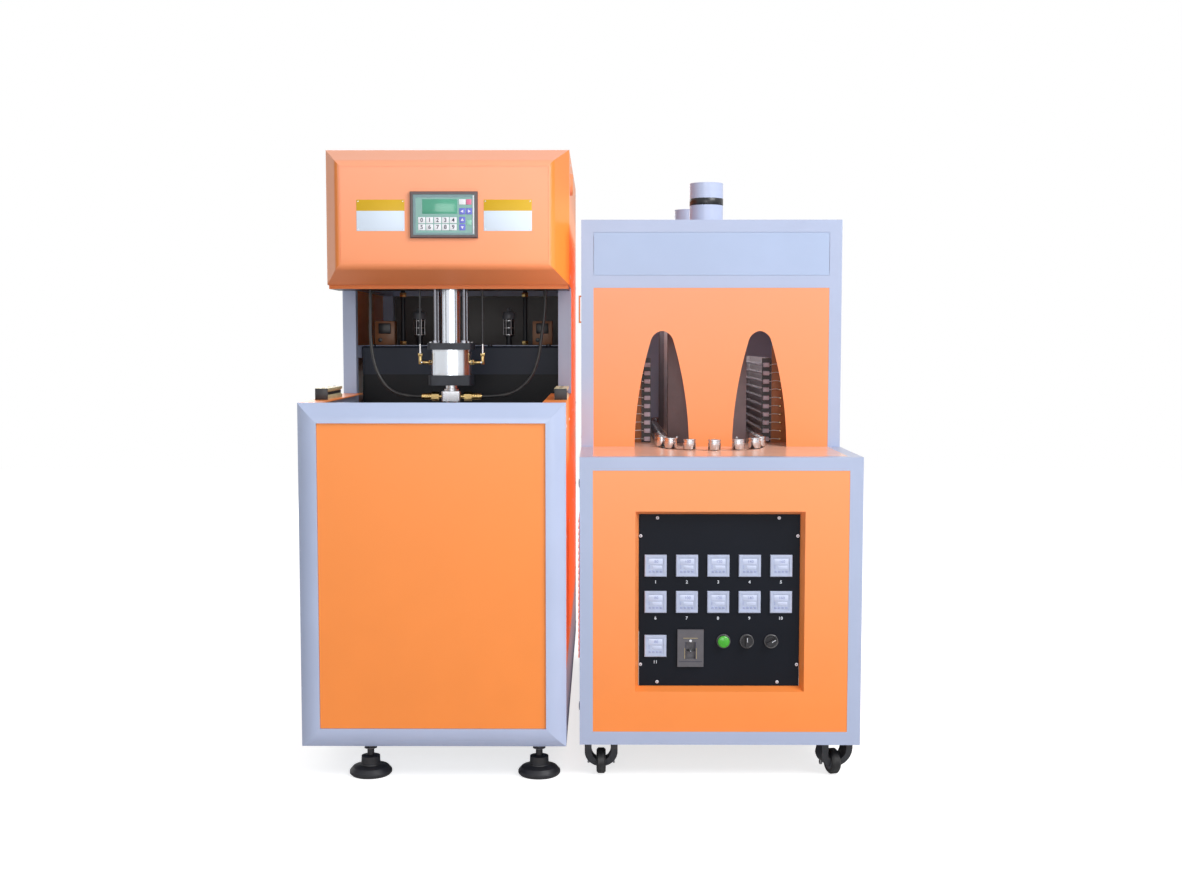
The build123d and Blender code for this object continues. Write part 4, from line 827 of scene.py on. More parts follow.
@dataclass
class Studio:
    """The camera at the photograph's viewing angle, a white room and soft lamps."""

    eye: Point = (0.0493, -4.805, 1.26585)
    turn: Point = (85.854, 0.0, 0.358)
    lens: float = 43.16
    daylight: float = 0.38
    floor_tone: float = 0.72

    def camera(self) -> None:
        """Places the camera."""
        data = bpy.data.cameras.new("camera")
        data.lens = self.lens
        data.sensor_width = 36.0
        eye = bpy.data.objects.new("camera", data)
        eye.location = self.eye
        eye.rotation_euler = tuple(radians(a) for a in self.turn)
        bpy.context.scene.collection.objects.link(eye)
        bpy.context.scene.camera = eye

    def room(self) -> None:
        """Makes the white surroundings and the pale floor that keeps the shadow."""
        world = bpy.data.worlds.new("studio")
        world.use_nodes = True
        nodes = Nodes(world.node_tree)
        back = nodes.tree.nodes["Background"]
        back.inputs["Color"].default_value = (1.0, 1.0, 1.0, 1.0)
        ray = nodes.add("LightPath", {})
        first = nodes.add("Math", {0: ray["Is Camera Ray"], 1: ray["Is Glossy Ray"]}, operation="MAXIMUM")
        seen = nodes.add("Math", {0: first[0], 1: ray["Is Transmission Ray"]}, operation="MAXIMUM")
        level = nodes.add("MapRange", {"Value": seen[0], "To Min": self.daylight, "To Max": 1.0})
        nodes.tree.links.new(level[0], back.inputs["Strength"])
        bpy.context.scene.world = world
        mesh = bpy.data.meshes.new("floor")
        mesh.from_pydata([(-9, -9, 0), (9, -9, 0), (9, 9, 0), (-9, 9, 0)], [], [(0, 1, 2, 3)])
        floor = bpy.data.objects.new("floor", mesh)
        bpy.context.scene.collection.objects.link(floor)
        mesh.materials.append(self.floor_material())

    def floor_material(self) -> bpy.types.Material:
        """Makes a pale floor that fades into the white of the room with distance.

        Returns:
            The material.
        """
        graph = Graph("studio_floor")
        tone = (self.floor_tone,) * 3
        graph.drive("Base Color", graph.mixed(graph.noise(3.0, 2.0), tone, tuple(c * 0.985 for c in tone)))
        graph.fix("Roughness", 0.9)
        graph.fix("Specular IOR Level", 0.0)
        glow = graph.ranged(graph.add("LightPath", {})["Is Camera Ray"], 0.0, 1.0, 0.0, 0.72)
        graph.fix("Emission Color", (1.0, 1.0, 1.0))
        graph.drive("Emission Strength", glow)
        return graph.material

    def lamp(self, name: str, place: Point, target: Point, size: float, power: float) -> bpy.types.Object:
        """Hangs one soft square lamp that looks at a point.

        Args:
            name: The lamp's name.
            place: Where it hangs, in metres.
            target: The point it looks at.
            size: The side of its square, in metres.
            power: Its power in watts.

        Returns:
            The lamp.
        """
        data = bpy.data.lights.new(name, "AREA")
        data.shape = "SQUARE"
        data.size = size
        data.energy = power
        lamp = bpy.data.objects.new(name, data)
        lamp.location = place
        lamp.rotation_euler = (Vector(target) - Vector(place)).to_track_quat("-Z", "Y").to_euler()
        bpy.context.scene.collection.objects.link(lamp)
        return lamp

    def lamps(self) -> None:
        """Hangs the key lamp at the upper right, two fills in front and one behind, and lights gap and tunnels."""
        self.lamp("key", (2.9, -3.2, 4.0), (0.0, 0.0, 0.9), 2.6, 175.0)
        self.lamp("front_fill", (-0.4, -6.5, 1.8), (0.0, 0.0, 1.0), 2.6, 60.0)
        self.lamp("low_right", (2.8, -6.0, 1.4), (-0.2, 0.0, 1.1), 2.4, 26.0)
        self.lamp("rear_fill", (-2.0, 5.8, 3.0), (0.0, 0.3, 0.9), 4.0, 85.0)
        hidden = [self.lamp("gap_sheet", (-0.0115, 0.0, 0.93), (-1.0, 0.0, 0.93), 1.55, 4.2)]
        for name, side in (("left_tunnel_strip", -1), ("right_tunnel_strip", 1)):
            x, y = HEATER_X + side * TURN_R, FRONT_Y + 0.92
            strip = self.lamp(name, (x, y, 1.40), (x, y, 0.0), 0.06, 0.75)
            strip.data.shape = "RECTANGLE"
            strip.data.size_y = 0.66
            hidden.append(strip)
        for lamp in hidden:
            lamp.visible_camera = False
            lamp.visible_glossy = False


class FrameLooks:
    """The finish of every node of the CAD frame."""

    looks: dict[str, Finish] = {
        "air_treatment_set": Palette.black_coat, "arch_panel": Palette.arch_orange,
        "blow_hoses": Palette.hose, "blow_nozzle": Palette.bright, "blower_frame": Palette.grey,
        "blower_rear_panel": Palette.rear_orange, "blower_side_sheets": Palette.side_orange,
        "breaker_lever": Palette.black_plastic, "chain_sprockets": Palette.ground,
        "clamp_crosshead": Palette.black_coat, "clamp_cylinder": Palette.milled, "clamp_rod": Palette.rod_chrome,
        "clamp_support_plate": Palette.black_coat, "control_panel": Palette.panel_black,
        "conveyor_chain": Palette.dark_steel, "drive_gearmotor": Palette.gear_grey,
        "exhaust_ducts": Palette.duct_grey, "fascia_panel": Palette.fascia_grey,
        "front_bevel_frame": Palette.bevel_grey, "front_exhaust_fan": Palette.milled,
        "front_mould_half": Palette.milled, "front_panel": Palette.front_orange,
        "front_platen": Palette.black_coat, "head_carrier_plate": Palette.carrier, "heater_covers": Palette.grey,
        "heater_frame": Palette.grey, "heater_front_panel": Palette.heater_orange,
        "heater_side_covers": Palette.heater_orange, "heater_side_panels": Palette.heater_orange,
        "heater_table": Palette.table_orange, "hood_shell": Palette.hood_orange, "hose_fittings": Palette.brass,
        "infrared_lamps": Palette.lamps, "lamp_racks": Palette.rack, "left_selector": Palette.black_plastic,
        "levelling_feet": Palette.foot, "mould_change_rails": Palette.zinc, "operator_display": Palette.bezel,
        "panel_fittings": Palette.switch_grey, "panel_meters": Palette.meter_case,
        "preform_holders": Palette.bright, "rear_exhaust_fan": Palette.milled,
        "rear_mould_half": Palette.milled, "rear_platen": Palette.platen_black,
        "right_selector": Palette.black_plastic, "seal_cylinder_barrel": Palette.cylinder,
        "seal_cylinder_plates": Palette.head_plates, "start_button": Palette.green,
        "stretch_cylinder": Palette.chrome, "stretch_rod": Palette.rod_chrome, "tie_bars": Palette.rod_chrome,
        "tunnel_reflector": Palette.reflector,
    }

    def dress(self, nodes: dict[str, bpy.types.Object]) -> None:
        """Gives each node its finish through its object's own slots.

        Args:
            nodes: The nodes of the frame by name.
        """
        for name, node in nodes.items():
            look = self.looks.get(name)
            if look is None:
                look = Palette.tyre if name.endswith("_wheel") else Palette.yoke_steel
            for place in node.material_slots:
                place.link = "OBJECT"
                place.material = look.material()
            log.info("%s has the finish %s", name, look.name)


@dataclass
class BlowHoses:
    """The two black air hoses from the nozzle up to the carrier plate; the real ones move with the nozzle at their
    lower ends, these are fixed pieces.
    """

    radius: float = 0.005
    left: Sequence[Point] = ((-0.0945, 0.545, NOZZLE_Z), (-0.150, 0.545, NOZZLE_Z), (-0.205, 0.546, 1.108),
                             (-0.240, 0.550, 1.160), (-0.257, 0.556, 1.225), (-0.263, 0.564, 1.295),
                             (-0.262, 0.572, 1.365), (-0.262, 0.572, CARRIER_Z))
    right: Sequence[Point] = ((0.0945, 0.545, NOZZLE_Z), (0.150, 0.545, NOZZLE_Z), (0.208, 0.546, 1.100),
                              (0.256, 0.550, 1.145), (0.279, 0.556, 1.208), (0.288, 0.564, 1.280),
                              (0.300, 0.572, 1.356), (0.300, 0.572, CARRIER_Z))

    def build(self) -> None:
        for name, route in (("left_blow_hose", self.left), ("right_blow_hose", self.right)):
            way = [(BLOWER_X + x, FRONT_Y + y, z) for x, y, z in route]
            line = centreline(way)
            work = Work(name)
            work.tube(line, self.radius, 16)
            hose = work.piece(Palette.hose, "rubber", 60.0)
            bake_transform(hose)
            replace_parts(hose, "blow_hoses")


@dataclass
class BlowingHead:
    """What dresses the blowing head: brass elbows, air pipes, screws, barrel bands and collars."""

    elbow_z: float = 1.195
    elbow_x: float = 0.100
    pipe_radius: float = 0.003
    pipe_length: float = 0.030
    plate_top: float = 1.257

    def build(self) -> None:
        """Makes the pieces of the blowing head."""
        self.elbows()
        self.air_pipes()
        self.screws()
        self.collars()

    def elbows(self) -> None:
        """Brass elbow bodies over the two stubs of the seal cylinder."""
        work = Work("elbow_sleeves")
        for side in SIDES:
            x = BLOWER_X + side * 0.0655
            work.rod((x, HEAD_Y, self.elbow_z), Axis.X, side * 0.007, 0.0085, 6, 0.0006)
            work.rod((x + side * 0.007, HEAD_Y, self.elbow_z), Axis.X, side * 0.0215, 0.0054, 20, 0.0005)
            x = BLOWER_X + side * self.elbow_x
            work.rod((x, HEAD_Y, self.elbow_z - 0.006), Axis.Z, 0.030, 0.0056, 20, 0.0006)
            work.rod((x, HEAD_Y, self.elbow_z + 0.020), Axis.Z, 0.0095, 0.0078, 6, 0.0006)
        work.finish(Palette.brass, slot="brass")

    def air_pipes(self) -> None:
        """A short nickel pipe on each elbow and the black air tube from it up to the carrier plate."""
        pipes = Work("air_pipes")
        tubes = Work("air_tubes")
        joint = self.elbow_z + 0.029
        for side in SIDES:
            x = BLOWER_X + side * self.elbow_x
            pipes.rod((x, HEAD_Y, joint), Axis.Z, self.pipe_length, self.pipe_radius, 16)
            foot = joint + self.pipe_length
            tubes.rod((x, HEAD_Y, foot), Axis.Z, CARRIER_Z - foot, self.pipe_radius, 16)
        pipes.finish(Palette.nickel, slot="steel")
        tubes.finish(Palette.air_tube, slot="rubber")

    def screws(self) -> None:
        """Socket screws on the plates, washers under the rod nuts and two bands round the seal cylinder."""
        work = Work("head_screws")
        for x, y in corners(BLOWER_X, HEAD_Y, 0.060, 0.060):
            work.rod((x, y, self.plate_top), Axis.Z, 0.004, 0.0045, 18, 0.0005)
        for x, y in corners(BLOWER_X, HEAD_Y, 0.046, 0.046):
            work.ring((x, y, self.plate_top + 0.0002), Axis.Z, 0.0046, 0.0105, 0.0012, 20)
        for side in SIDES:
            work.rod((BLOWER_X + side * 0.036, HEAD_Y - 0.0425, 1.712), Axis.Y, 0.002, 0.005, 18, 0.0004)
        work.finish(Palette.ground, slot="steel")
        band = Work("barrel_bands")
        for z in (1.1575, 1.2315):
            band.ring((BLOWER_X, HEAD_Y, z), Axis.Z, 0.0649, 0.0656, 0.002, 64)
        band.finish(Palette.bright, slot="steel")

    def collars(self) -> None:
        """Knurled rings on the hose fittings and the lock ring above the nozzle block."""
        work = Work("fitting_collars")
        for side in SIDES:
            for at in (0.0665, 0.0735, 0.0805):
                centre = (BLOWER_X + side * at, HEAD_Y, NOZZLE_Z)
                work.rod(centre, Axis.X, side * 0.0045, 0.0112, 18, 0.0009)
            centre = (BLOWER_X + side * 0.0885, HEAD_Y, NOZZLE_Z)
            work.rod(centre, Axis.X, side * 0.0085, 0.0088, 18, 0.001, 0.0062)
        work.finish(Palette.brass, "nozzle", "brass")
        ring = Work("nozzle_lock_ring")
        profile = ((0.0201, 0), (0.0245, 0), (0.0255, 0.001), (0.0255, 0.007), (0.0245, 0.008), (0.0201, 0.008))
        ring.turned((BLOWER_X, HEAD_Y, 1.1035), Axis.Z, profile, 36)
        ring.finish(Palette.bright, "nozzle", "steel")


@dataclass
class NoticePlates:
    """The two bare two-tone plates beside the display, each with four rivets."""

    middle: float = 0.1945
    z: float = 1.6465
    wide: float = 0.147
    high: float = 0.095
    inset: float = 0.005

    def build(self) -> None:
        """Makes both plates and their rivets."""
        for name, side in (("left_plate", -1), ("right_plate", 1)):
            x = BLOWER_X + side * self.middle
            work = Work(name)
            work.plate(x, DISPLAY_Y, self.z, self.wide, self.high, 0.0009, 0.0003, 2)
            work.finish(Palette.notice, slot="grey_plastic")
            rivets = Work(f"{name}_rivets")
            for at, z in corners(x, self.z, self.wide / 2 - self.inset, self.high / 2 - self.inset):
                rivets.rod((at, DISPLAY_Y - 0.0009, z), Axis.Y, -0.0007, 0.0019, 14, 0.0003)
            rivets.finish(Palette.bright, slot="steel")


@dataclass
class Display:
    """The operator display's foil, its lit field and its keys."""

    x: float = BLOWER_X
    z: float = 1.6475
    face_y: float = -0.4510
    columns: Sequence[float] = (-0.0675, -0.0435, -0.0192, 0.0048, 0.0287)
    rows: Sequence[float] = (-0.0167, -0.0378)
    arrows: Sequence[tuple[float, float, float]] = ((0.0564, 0.0103, 90), (0.0770, 0.0103, -90), (0.0564, -0.0160, 0),
                                                    (0.0564, -0.0378, 180))

    def build(self) -> None:
        """Makes the foil, the field, the keys and their figures."""
        foil = Work("display_foil")
        foil.plate(self.x, self.face_y, self.z, 0.1884, 0.1224, 0.0003)
        foil.finish(Palette.face_foil, slot="grey_plastic")
        self.frame()
        self.tiles("display_glass", Palette.glass_green, "green_plastic", [(-0.0123, 0.0248, 0.1064, 0.044)], 0.0005)
        self.keys()

    def frame(self) -> None:
        """The pale inner frame of the foil and the white strip on its right, which is a painted highlight."""
        work = Work("display_frame")
        y = self.face_y - 0.0001
        for x, z, wide, high in ((-0.0898, 0.0, 0.0080, 0.1210), (0.0903, 0.0, 0.0070, 0.1210),
                                 (0.0005, 0.0565, 0.1726, 0.0080), (0.0005, -0.0575, 0.1726, 0.0060)):
            work.plate(self.x + x, y, self.z + z, wide, high, 0.0009, 0.0002)
        work.finish(Palette.bezel_pale, slot="grey_plastic")
        # A painted highlight: a white strip down the right edge of the frame
        strip = Work("display_painted_highlight")
        strip.plate(self.x + 0.0905, y - 0.0009, self.z, 0.0040, 0.116, 0.0006, 0.0002)
        strip.finish(Palette.white_key, slot="grey_plastic")

    def tiles(self, name: str, look: Finish, slot: str, spots: Sequence[tuple[float, float, float, float]],
              proud: float = 0.0008) -> None:
        """Makes one piece of raised keys or fields.

        Args:
            name: The piece's name.
            look: Its finish.
            slot: The record's material slot.
            spots: The middle, from the display's middle, the width and the height of each.
            proud: How far they stand off the foil.
        """
        work = Work(name)
        for x, z, wide, high in spots:
            work.plate(self.x + x, self.face_y - 0.0003, self.z + z, wide, high, proud, 0.0004, 2)
        work.finish(look, slot=slot)

    def keys(self) -> None:
        """Ten figure keys, a white and a rose key, four arrow keys and a pale one."""
        y = self.face_y - 0.0011
        digits = [(x, z, 0.0215, 0.0185) for z in self.rows for x in self.columns]
        self.tiles("figure_keys", Palette.white_key, "grey_plastic", [*digits, (0.0568, 0.0386, 0.0205, 0.0162)])
        figures = Work("key_figures")
        for number, (x, z, _, _) in enumerate(digits):
            figures.words(str(number), 0.0125, (self.x + x, y, self.z + z), 0.0003, 0.0003)
        figures.finish(Palette.ink, slot="black_plastic")
        self.tiles("rose_key", Palette.rose_key, "grey_plastic", [(0.0765, 0.0386, 0.0163, 0.0162)])
        self.tiles("pale_key", Palette.pale_key, "green_plastic", [(0.077, -0.0235, 0.0150, 0.0150)])
        spots = [(x, z, 0.0185, 0.0190) for x, z, _ in self.arrows]
        self.tiles("arrow_keys", Palette.blue_key, "grey_plastic", spots)
        marks = Work("arrow_marks")
        for x, z, angle in self.arrows:
            turn = Matrix.Rotation(-radians(angle), 4, "Y") @ Matrix.Rotation(pi / 2, 4, "X")
            place = Matrix.Translation((self.x + x, y - 0.0002, self.z + z)) @ turn
            bmesh.ops.create_cone(marks.bm, cap_ends=True, segments=3, radius1=0.0055, radius2=0.0055, depth=0.0004,
                                  matrix=place)
        marks.finish(Palette.white_key, slot="grey_plastic")


@dataclass
class ControlPanel:
    """The meters' glasses and keys, figures, breaker marks, pointers and cross slots of the heater's panel."""

    face_y: float = PANEL_FACE_Y
    pitch: float = 0.090
    rows: Sequence[tuple[int, float]] = ((5, 0.621), (5, 0.516), (1, 0.388))
    breaker: Point = (PANEL_X - 0.082, -0.7805, 0.382)
    knobs: Sequence[float] = (0.013, 0.080, 0.150)
    knob_z: float = 0.402
    screws: Sequence[tuple[float, float]] = ((-0.178, 0.239), (0.170, 0.239), (-0.226, 0.187), (0.224, 0.187),
                                             (-0.226, -0.186), (0.224, -0.186), (-0.178, -0.237), (0.168, -0.237))

    def build(self) -> None:
        """Makes everything on the panel."""
        self.meters()
        self.breaker_marks()
        self.pointers()
        self.button_dome()
        self.screw_heads()

    def spots(self) -> list[tuple[float, float]]:
        """The middles of all meters."""
        return [(PANEL_X + (col - 2) * self.pitch - 0.003, z) for count, z in self.rows for col in range(count)]

    def meters(self) -> None:
        """Glass, second line, key row and rim of each meter, and its number on the panel."""
        glass = Work("meter_glasses")
        lines = Work("meter_lines")
        keys = Work("meter_keys")
        numbers = Work("meter_numbers")
        y = self.face_y - 0.0065
        for index, (x, z) in enumerate(self.spots()):
            glass.plate(x, y, z + 0.01225, 0.0400, 0.0165, 0.0006, 0.0003, 2)
            glass.plate(x + 0.0045, y, z - 0.0040, 0.0270, 0.0090, 0.0005, 0.0003, 2)
            for dot in range(3):
                lines.plate(x - 0.01825, y, z + 0.0003 - dot * 0.0036, 0.0035, 0.0016, 0.0005)
            for key in range(4):
                keys.plate(x + (key - 1.5) * 0.0105, y, z - 0.01635, 0.0072, 0.0057, 0.0009, 0.0005, 2)
            lines.words(str(20 * (index % 5) + 80), 0.0085, (x + 0.002, y - 0.0006, z + 0.0122), 0.0002, 0.0001)
            numbers.words(str(index + 1), 0.0090, (x, self.face_y, z - 0.0480), 0.0004, 0.0002)
        glass.finish(Palette.meter_glass, slot="grey_plastic")
        lines.finish(Palette.meter_ink, slot="grey_plastic")
        keys.finish(Palette.meter_key, slot="grey_plastic")
        numbers.finish(Palette.white_ink, slot="grey_plastic")

    def breaker_marks(self) -> None:
        """Lines, dot and lower edge of the breaker's cover."""
        x, y, z = self.breaker
        pale = Work("breaker_lines")
        for dx, dz, wide, high in ((0.0, 0.0296, 0.042, 0.0012), (-0.0166, -0.0145, 0.0012, 0.031),
                                   (0.0166, -0.0145, 0.0012, 0.031)):
            pale.plate(x + dx, y, z + dz, wide, high, 0.0005)
        pale.finish(Palette.beige_ink, slot="grey_plastic")
        dark = Work("breaker_edges")
        for dx, dz, wide, high, proud in ((0.0, -0.03875, 0.066, 0.0015, 0.0005),
                                          (0.0, 0.02125, 0.0026, 0.0085, 0.0006),
                                          (-0.01425, -0.0065, 0.0015, 0.051, 0.0006),
                                          (0.01425, -0.0065, 0.0015, 0.051, 0.0006)):
            dark.plate(x + dx, y, z + dz, wide, high, proud)
        dark.finish(Palette.ink, slot="black_plastic")
        dot = Work("breaker_dot")
        dot.rod((x, y - 0.0001, z + 0.0220), Axis.Y, -0.0008, 0.0038, 24, 0.0003)
        dot.finish(Palette.white_key, slot="grey_plastic")
        tip = Work("breaker_lever_mark")
        tip.plate(x, -0.7895, 0.37725, 0.0016, 0.0055, 0.0035, 0.0002)
        tip.finish(Palette.white_ink, "breaker", "grey_plastic")

    def pointers(self) -> None:
        """The white line on each selector's grip and the grey edge of each ring."""
        for name, body, at, angle in (("left_pointer", "selector_a", self.knobs[1], 0.0),
                                      ("right_pointer", "selector_b", self.knobs[2], 60.0)):
            work = Work(name)
            centre = Vector((PANEL_X + at, 0, self.knob_z))
            turn = Matrix.Rotation(radians(angle), 4, "Y")
            middle = centre + turn @ Vector((0, 0, 0.0068))
            size = Matrix.Diagonal((0.0016, 0.0007, 0.0125, 1))
            place = Matrix.Translation((middle.x, -0.7945, middle.z)) @ turn @ size
            bmesh.ops.create_cube(work.bm, size=1.0, matrix=place)
            work.soften(work.bm.edges[:], 0.0002, 1)
            work.finish(Palette.white_ink, body, "grey_plastic")
        rims = Work("knob_rims")
        for at in self.knobs:
            profile = ((0.0163, 0), (0.0198, 0), (0.0200, -0.0012), (0.0186, -0.0020), (0.0170, -0.0014))
            rims.turned((PANEL_X + at, self.face_y - 0.0060, self.knob_z), Axis.Y, profile, 40)
        rims.finish(Palette.rim_grey, slot="grey_plastic")

    def button_dome(self) -> None:
        """The crowned cap of the green button."""
        work = Work("button_dome")
        profile = ((0.0, -0.0032), (0.0062, -0.0029), (0.0118, -0.0019), (0.0156, -0.0006), (0.0168, 0.0006),
                   (0.0168, 0.0014), (0.0, 0.0014))
        work.turned((PANEL_X + self.knobs[0], self.face_y - 0.0140, self.knob_z), Axis.Y, profile, 40)
        work.finish(Palette.green, "button", "green_plastic")

    def screw_heads(self) -> None:
        """Pan heads with cross slots over the panel's eight screws."""
        heads = Work("panel_screw_heads")
        slots = Work("panel_screw_slots")
        for dx, dz in self.screws:
            x, y, z = (PANEL_X + dx, self.face_y - 0.0030, 0.520 + dz)
            profile = ((0.0, -0.0014), (0.0030, -0.0011), (0.0047, -0.0002), (0.0047, 0.0006), (0.0, 0.0006))
            heads.turned((x, y, z), Axis.Y, profile, 20)
            for wide, high in ((0.0046, 0.0009), (0.0009, 0.0046)):
                slots.plate(x, y - 0.0009, z, wide, high, 0.0007, 0.0)
        heads.finish(Palette.screw_white, slot="steel")
        slots.finish(Palette.ink, slot="black_plastic")


@dataclass
class ExhaustDucts:
    """Rolled lips, beads, foot seals, black clamp bands with their screws and the fan guards of both ducts."""

    x: float = HEATER_X - 0.006
    places: Sequence[float] = (FRONT_Y + 0.560, FRONT_Y + 1.481)
    foot: float = 1.637
    height: float = 0.126
    guard: float = 0.066
    lip: Profile = ((0.0506, -0.0016), (0.0506, -0.0004), (0.0512, 0.0), (0.0526, 0.0), (0.0533, -0.0006),
                    (0.0533, -0.0030), (0.0529, -0.0034))
    bead: Profile = ((0.0520, -0.0016), (0.0530, -0.0008), (0.0533, 0.0), (0.0530, 0.0008), (0.0520, 0.0016))
    band: Profile = ((0.0520, 0.0004), (0.0531, 0.0004), (0.0535, 0.0010), (0.0535, 0.0210), (0.0531, 0.0216),
                     (0.0520, 0.0216))
    seal: Profile = ((0.0520, 0.0002), (0.0560, 0.0002), (0.0560, 0.0014), (0.0540, 0.0030), (0.0520, 0.0030))

    def build(self) -> None:
        """Makes the pieces of both ducts."""
        lips, bands, screws = Work("duct_lips"), Work("duct_bands"), Work("duct_band_screws")
        guards, seals = Work("duct_guards"), Work("duct_seals")
        for y in self.places:
            lips.turned((self.x, y, self.foot + self.height), Axis.Z, self.lip, 64)
            bands.turned((self.x, y, self.foot + 0.056), Axis.Z, self.band, 64)
            bands.box((self.x - 0.006, y + 0.0528, self.foot + 0.059),
                      (self.x + 0.006, y + 0.0565, self.foot + 0.075), 0.0010)
            screws.rod((self.x, y + 0.0564, self.foot + 0.067), Axis.Y, 0.0018, 0.0030, 6, 0.0003)
            for level in (0.048, 0.086, 0.103):
                lips.turned((self.x, y, self.foot + level), Axis.Z, self.bead, 64)
            seals.turned((self.x, y, self.foot), Axis.Z, self.seal, 64)
            middle = (self.x, y, self.foot + self.guard)
            for radius in (0.016, 0.030, 0.043):
                wire = ((radius, -0.0011), (radius + 0.0011, 0.0), (radius, 0.0011), (radius - 0.0011, 0.0))
                guards.turned(middle, Axis.Z, wire, 40)
            for arm in range(4):
                part = bmesh.new()
                turn = Matrix.Rotation(arm * pi / 2 + pi / 4, 4, "Z")
                place = Matrix.Translation(middle) @ turn @ Matrix.Translation((0.032, 0, 0))
                bmesh.ops.create_cube(part, size=1.0, matrix=place @ Matrix.Diagonal((0.0372, 0.0022, 0.0014, 1)))
                guards.join(part)
        lips.finish(Palette.duct_grey, slot="grey_paint")
        bands.finish(Palette.band_black, slot="rubber")
        screws.finish(Palette.ground, slot="steel")
        guards.finish(Palette.ground, slot="steel")
        seals.finish(Palette.seal_brown, slot="rubber")


@dataclass
class TunnelLamps:
    """Ceramic heads, sleeved leads and terminal boards of the infrared lamps, and the reflector's end sheets."""

    x: float = TURN_R + 0.038
    front: float = FRONT_Y + 0.584
    back: float = FRONT_Y + 1.240
    low: float = 0.947
    pitch: float = 0.0266
    rows: int = 10
    wider: float = 0.0180
    sheet: float = 0.0012

    def build(self) -> None:
        """Makes the lamps' ends for both tunnels."""
        ends, leads = Work("lamp_ends"), Work("lamp_leads")
        boards, studs = Work("lamp_terminal_boards"), Work("lamp_terminal_studs")
        for side in SIDES:
            x = HEATER_X + side * self.x
            for row in range(self.rows):
                z = self.low + row * self.pitch
                ends.box((x - side * 0.0080, self.front - 0.0100, z - 0.0070),
                         (x + side * 0.0120, self.front + 0.0060, z + 0.0070), 0.0020)
                ends.rod((x, self.back, z), Axis.Y, 0.0110, 0.0052, 8, 0.0, 0.0038)
                start = (x + side * 0.010, self.front - 0.0030, z)
                way = ((0.0, 0.0, 0.0), (0.006, -0.002, 0.0), (0.014, -0.005, 0.002),
                       (0.026, -0.006, 0.001 + 0.0003 * row), (0.0385, -0.006, 0.0))
                leads.tube([(start[0] + side * dx, start[1] + dy, z + dz) for dx, dy, dz in way], 0.0013, 6)
                studs.rod((x + side * 0.0485, self.front + 0.0122, z), Axis.Y, -0.0230, 0.0030, 6, 0.0004)
            boards.box((x + side * 0.0215, self.front + 0.0120, self.low - 0.012),
                       (x + side * 0.0850, self.front + 0.0150, self.low + self.rows * self.pitch + 0.035), 0.0006)
        ends.finish(Palette.ceramic, slot="lamp_glass")
        leads.finish(Palette.lead_sleeve, slot="steel")
        boards.finish(Palette.board, slot="black_plastic")
        studs.finish(Palette.brass, slot="brass")
        self.reflector_ends()

    def reflector_ends(self) -> None:
        """End sheets of the reflector between the tunnels, with wings that lead the preforms in, and their screws."""
        low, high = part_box("tunnel_reflector")
        sheets, screws = Work("reflector_ends"), Work("reflector_screws")
        x0, x1 = low[0] - self.wider, high[0] + self.wider
        z0, z1 = low[2] + 0.0010, high[2] - 0.0016
        middle = (z0 + z1) / 2
        wing = (0.0006, 0.0090, (z1 - z0) / 2)
        for y, out in ((low[1], -1), (high[1], 1)):
            sheets.box((x0, y, z0), (x1, y + out * self.sheet, z1), 0.0004)
            for x in (x0 - 0.0004, x1 + 0.0004):
                turn = Matrix.Rotation(radians(-6.0 if (x > HEATER_X) == (out < 0) else 6.0), 4, "Z")
                place = Matrix.Translation((x, y - out * 0.0080, middle)) @ turn
                sheets.box(tuple(-c for c in wing), wing, 0.0003, turn=place)
            for x, z in corners((low[0] + high[0]) / 2, middle, (high[0] - low[0]) / 2 - 0.012, wing[2] - 0.016):
                screws.rod((x, y + out * 0.0010, z), Axis.Y, out * 0.0013, 0.0042, 16, 0.0004)
        sheets.finish(Palette.reflector_end, slot="aluminium")
        screws.finish(Palette.ground, slot="steel")


